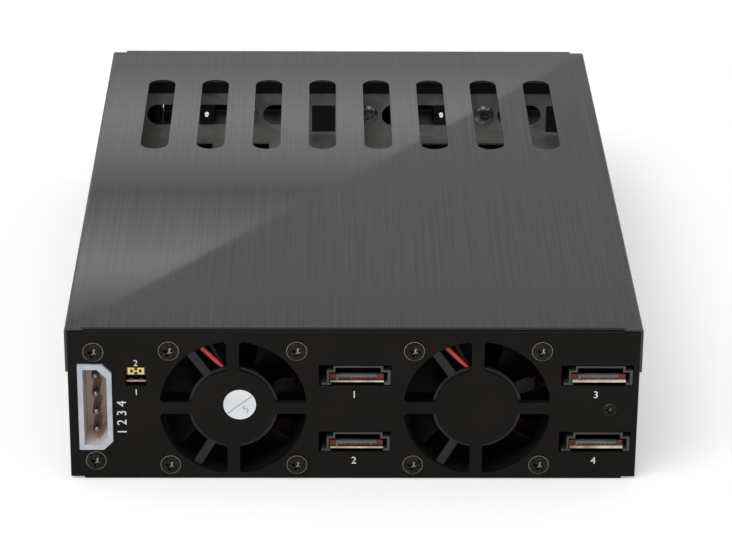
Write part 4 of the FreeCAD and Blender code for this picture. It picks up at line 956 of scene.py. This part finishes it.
# Light pipe: clear acrylic, polished, with a faint flow ripple 1.2 mm across.
RIPPLE_WIDTH = 1.2 * MM
RIPPLE_RELIEF = 0.02 * MM
clear_acrylic, tree, surface = new_material(
    "clear_acrylic", Transmission_Weight=1.0, IOR=1.49, Roughness=0.04)
place = add_node(tree, "ShaderNodeTexCoord", {}).outputs["Object"]
ripple = add_node(tree, "ShaderNodeTexNoise", {
    "Vector": place, "Scale": 1 / RIPPLE_WIDTH,
}).outputs["Fac"]
bump = add_node(tree, "ShaderNodeBump", {
    "Height": ripple, "Strength": 0.1, "Distance": RIPPLE_RELIEF,
}).outputs["Normal"]
tree.links.new(bump, surface.inputs["Normal"])
# Hinge pin: turned steel, chemically blackened, dull.
blackened_steel = plated_metal("blackened_steel", "#0b0b0b", "#161616", roughness=0.5, edge_wear_and_highlight=0.0)
# Sizes in mm.
SPRING_WIRE_RADIUS = 0.2
SPRING_COILS = 8
STEPS_PER_COIL = 24
for tray in TRAYS:
    dress(black_abs, f"{tray}_bezel", f"{tray}_lever")
    dress(blackened_steel, f"{tray}_hinge_pin")
    dress(grey_abs, f"{tray}_latch_button")
    dress(clear_acrylic, f"{tray}_light_pipe")
    low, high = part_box(f"{tray}_latch_spring")
    centre = middle_of(f"{tray}_latch_spring")
    reach = length_of(f"{tray}_latch_spring")
    ring = (high.x - low.x) / MM / 2 - SPRING_WIRE_RADIUS
    steps = SPRING_COILS * STEPS_PER_COIL
    coil = bmesh.new()
    bmesh.ops.create_circle(coil, segments=10, radius=SPRING_WIRE_RADIUS, cap_ends=True)
    put(coil, shift(ring, SPRING_WIRE_RADIUS, 0))
    bmesh.ops.spin(coil, geom=coil.verts[:] + coil.edges[:] + coil.faces[:], axis=(0, 1, 0),
                   dvec=(0, (reach - 2 * SPRING_WIRE_RADIUS) / steps, 0),
                   angle=SPRING_COILS * math.tau, steps=steps)
    bmesh.ops.remove_doubles(coil, verts=coil.verts, dist=SAME_POINT)
    bmesh.ops.recalc_face_normals(coil, faces=coil.faces)
    put(coil, shift(centre.x, low.y / MM, centre.z))
    spring = make_piece(f"{tray}_spring", coil, bright_zinc, tray, "bright_steel",
                        f"{tray}_latch_spring")
    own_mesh(spring)

# ---- Studio ----
# A pale floor that keeps a soft shadow, an even room, one soft lamp above the left front, and a
# card behind the cage whose slanting edge shows in the lacquered cover.
# Sizes and places in metres, the lamp's power in watts, angles in degrees. The card's bands are
# pairs of height and brightness.
ROOM_LIGHT, ROOM_SEEN = 0.62, 1.0
FLOOR_LIFT = 0.34
FLOOR_DROP = 0.2 * MM
FLOOR_HALF_SIZE = 6
LAMP_POWER = 13
LAMP_SIZE = 1.2
LAMP_PLACE = (-0.6, -0.8, 1.4)
CARD_CORNERS = ((-0.35, 1, 0.2), (0.462, 1, 0.2), (-0.35, 1, 0.67))
CARD_LOW, CARD_HIGH = 0.36, 0.58
CARD_BRIGHTEST = 2.5
CARD_BANDS = ((0.385, 1.2), (0.42, 2.2), (0.445, 1.7), (0.472, 0.86), (0.492, 1.45), (0.52, 2.5),
              (0.531, 2.35), (0.549, 1.55), (0.565, 0.65))
CAMERA_LENS = 149.69
CAMERA_PLACE = (-0.00806, -0.7893, 0.3727)
CAMERA_PITCH, CAMERA_YAW, CAMERA_ROLL = 24.48, 0.905, 0.474
scene = bpy.context.scene
scene.view_settings.view_transform = "Standard"


def looked_at(tree):
    """1 for what the eye sees, also in a mirror or through glass, and 0 for scattered light."""
    path = add_node(tree, "ShaderNodeLightPath", {})
    seen = add_node(tree, "ShaderNodeMath", {
        0: path.outputs["Is Camera Ray"], 1: path.outputs["Is Glossy Ray"],
    }, operation="MAXIMUM").outputs[0]
    return add_node(tree, "ShaderNodeMath", {
        0: seen, 1: path.outputs["Is Transmission Ray"],
    }, operation="MAXIMUM").outputs[0]


world = bpy.data.worlds.new("room")
world.use_nodes = True
scene.world = world
tree = world.node_tree
level = add_node(tree, "ShaderNodeMapRange", {
    "Value": looked_at(tree), "To Min": ROOM_LIGHT, "To Max": ROOM_SEEN,
}).outputs["Result"]
tree.links.new(level, tree.nodes["Background"].inputs["Strength"])
tree.nodes["Background"].inputs["Color"].default_value = (1, 1, 1, 1)

floor_material, tree, surface = new_material("pale_floor", Roughness=0.9, Specular_IOR_Level=0.0)
surface.inputs["Base Color"].default_value = linear("#e6e7e6")
lift = add_node(tree, "ShaderNodeMath", {
    0: looked_at(tree), 1: FLOOR_LIFT,
}, operation="MULTIPLY").outputs[0]
surface.inputs["Emission Color"].default_value = (1, 1, 1, 1)
tree.links.new(lift, surface.inputs["Emission Strength"])


def stage_piece(name, solid, material):
    """Makes a part of the studio from a bmesh in metres."""
    mesh = bpy.data.meshes.new(name)
    solid.to_mesh(mesh)
    solid.free()
    mesh.materials.append(material)
    made = bpy.data.objects.new(name, mesh)
    scene.collection.objects.link(made)
    return made


floor = bmesh.new()
bmesh.ops.create_grid(floor, x_segments=1, y_segments=1, size=FLOOR_HALF_SIZE,
                      matrix=shift(0, 0, -FLOOR_DROP))
stage_piece("floor", floor, floor_material)

lamp_data = bpy.data.lights.new("key", "AREA")
lamp_data.energy = LAMP_POWER
lamp_data.size = LAMP_SIZE
lamp = bpy.data.objects.new("key", lamp_data)
lamp.location = LAMP_PLACE
lamp.rotation_euler = (-lamp.location).to_track_quat("-Z", "Y").to_euler()
scene.collection.objects.link(lamp)

card_material = bpy.data.materials.new("card")
card_material.use_nodes = True
tree = card_material.node_tree
tree.nodes.clear()
place = add_node(tree, "ShaderNodeTexCoord", {}).outputs["Object"]
height = add_node(tree, "ShaderNodeSeparateXYZ", {"Vector": place}).outputs["Z"]
up_card = add_node(tree, "ShaderNodeMapRange", {
    "Value": height, "From Min": CARD_LOW, "From Max": CARD_HIGH,
}).outputs["Result"]
ramp = add_node(tree, "ShaderNodeValToRGB", {"Fac": up_card})
stops = ramp.color_ramp.elements
stops.remove(stops[1])
for index, (at, level) in enumerate(CARD_BANDS):
    position = (at - CARD_LOW) / (CARD_HIGH - CARD_LOW)
    stop = stops[0] if index == 0 else stops.new(position)
    stop.position = position
    stop.color = (level / CARD_BRIGHTEST, level / CARD_BRIGHTEST, level / CARD_BRIGHTEST, 1)
glow = add_node(tree, "ShaderNodeEmission", {
    "Color": ramp.outputs["Color"], "Strength": CARD_BRIGHTEST,
}).outputs["Emission"]
add_node(tree, "ShaderNodeOutputMaterial", {"Surface": glow})
triangle = bmesh.new()
triangle.faces.new([triangle.verts.new(corner) for corner in CARD_CORNERS])
card = stage_piece("card", triangle, card_material)
card.visible_camera = False
card.visible_diffuse = False

camera_data = bpy.data.cameras.new("camera")
camera_data.lens = CAMERA_LENS
camera_data.sensor_width = 36
camera_data.clip_start = 0.01
camera = bpy.data.objects.new("camera", camera_data)
scene.collection.objects.link(camera)
camera.matrix_world = (
    Matrix.Translation(CAMERA_PLACE)
    @ Matrix.Rotation(-math.radians(CAMERA_YAW), 4, "Z")
    @ Matrix.Rotation(math.pi / 2 - math.radians(CAMERA_PITCH), 4, "X")
    @ Matrix.Rotation(math.radians(CAMERA_ROLL), 4, "Z")
)
scene.camera = camera

bpy.context.view_layer.update()
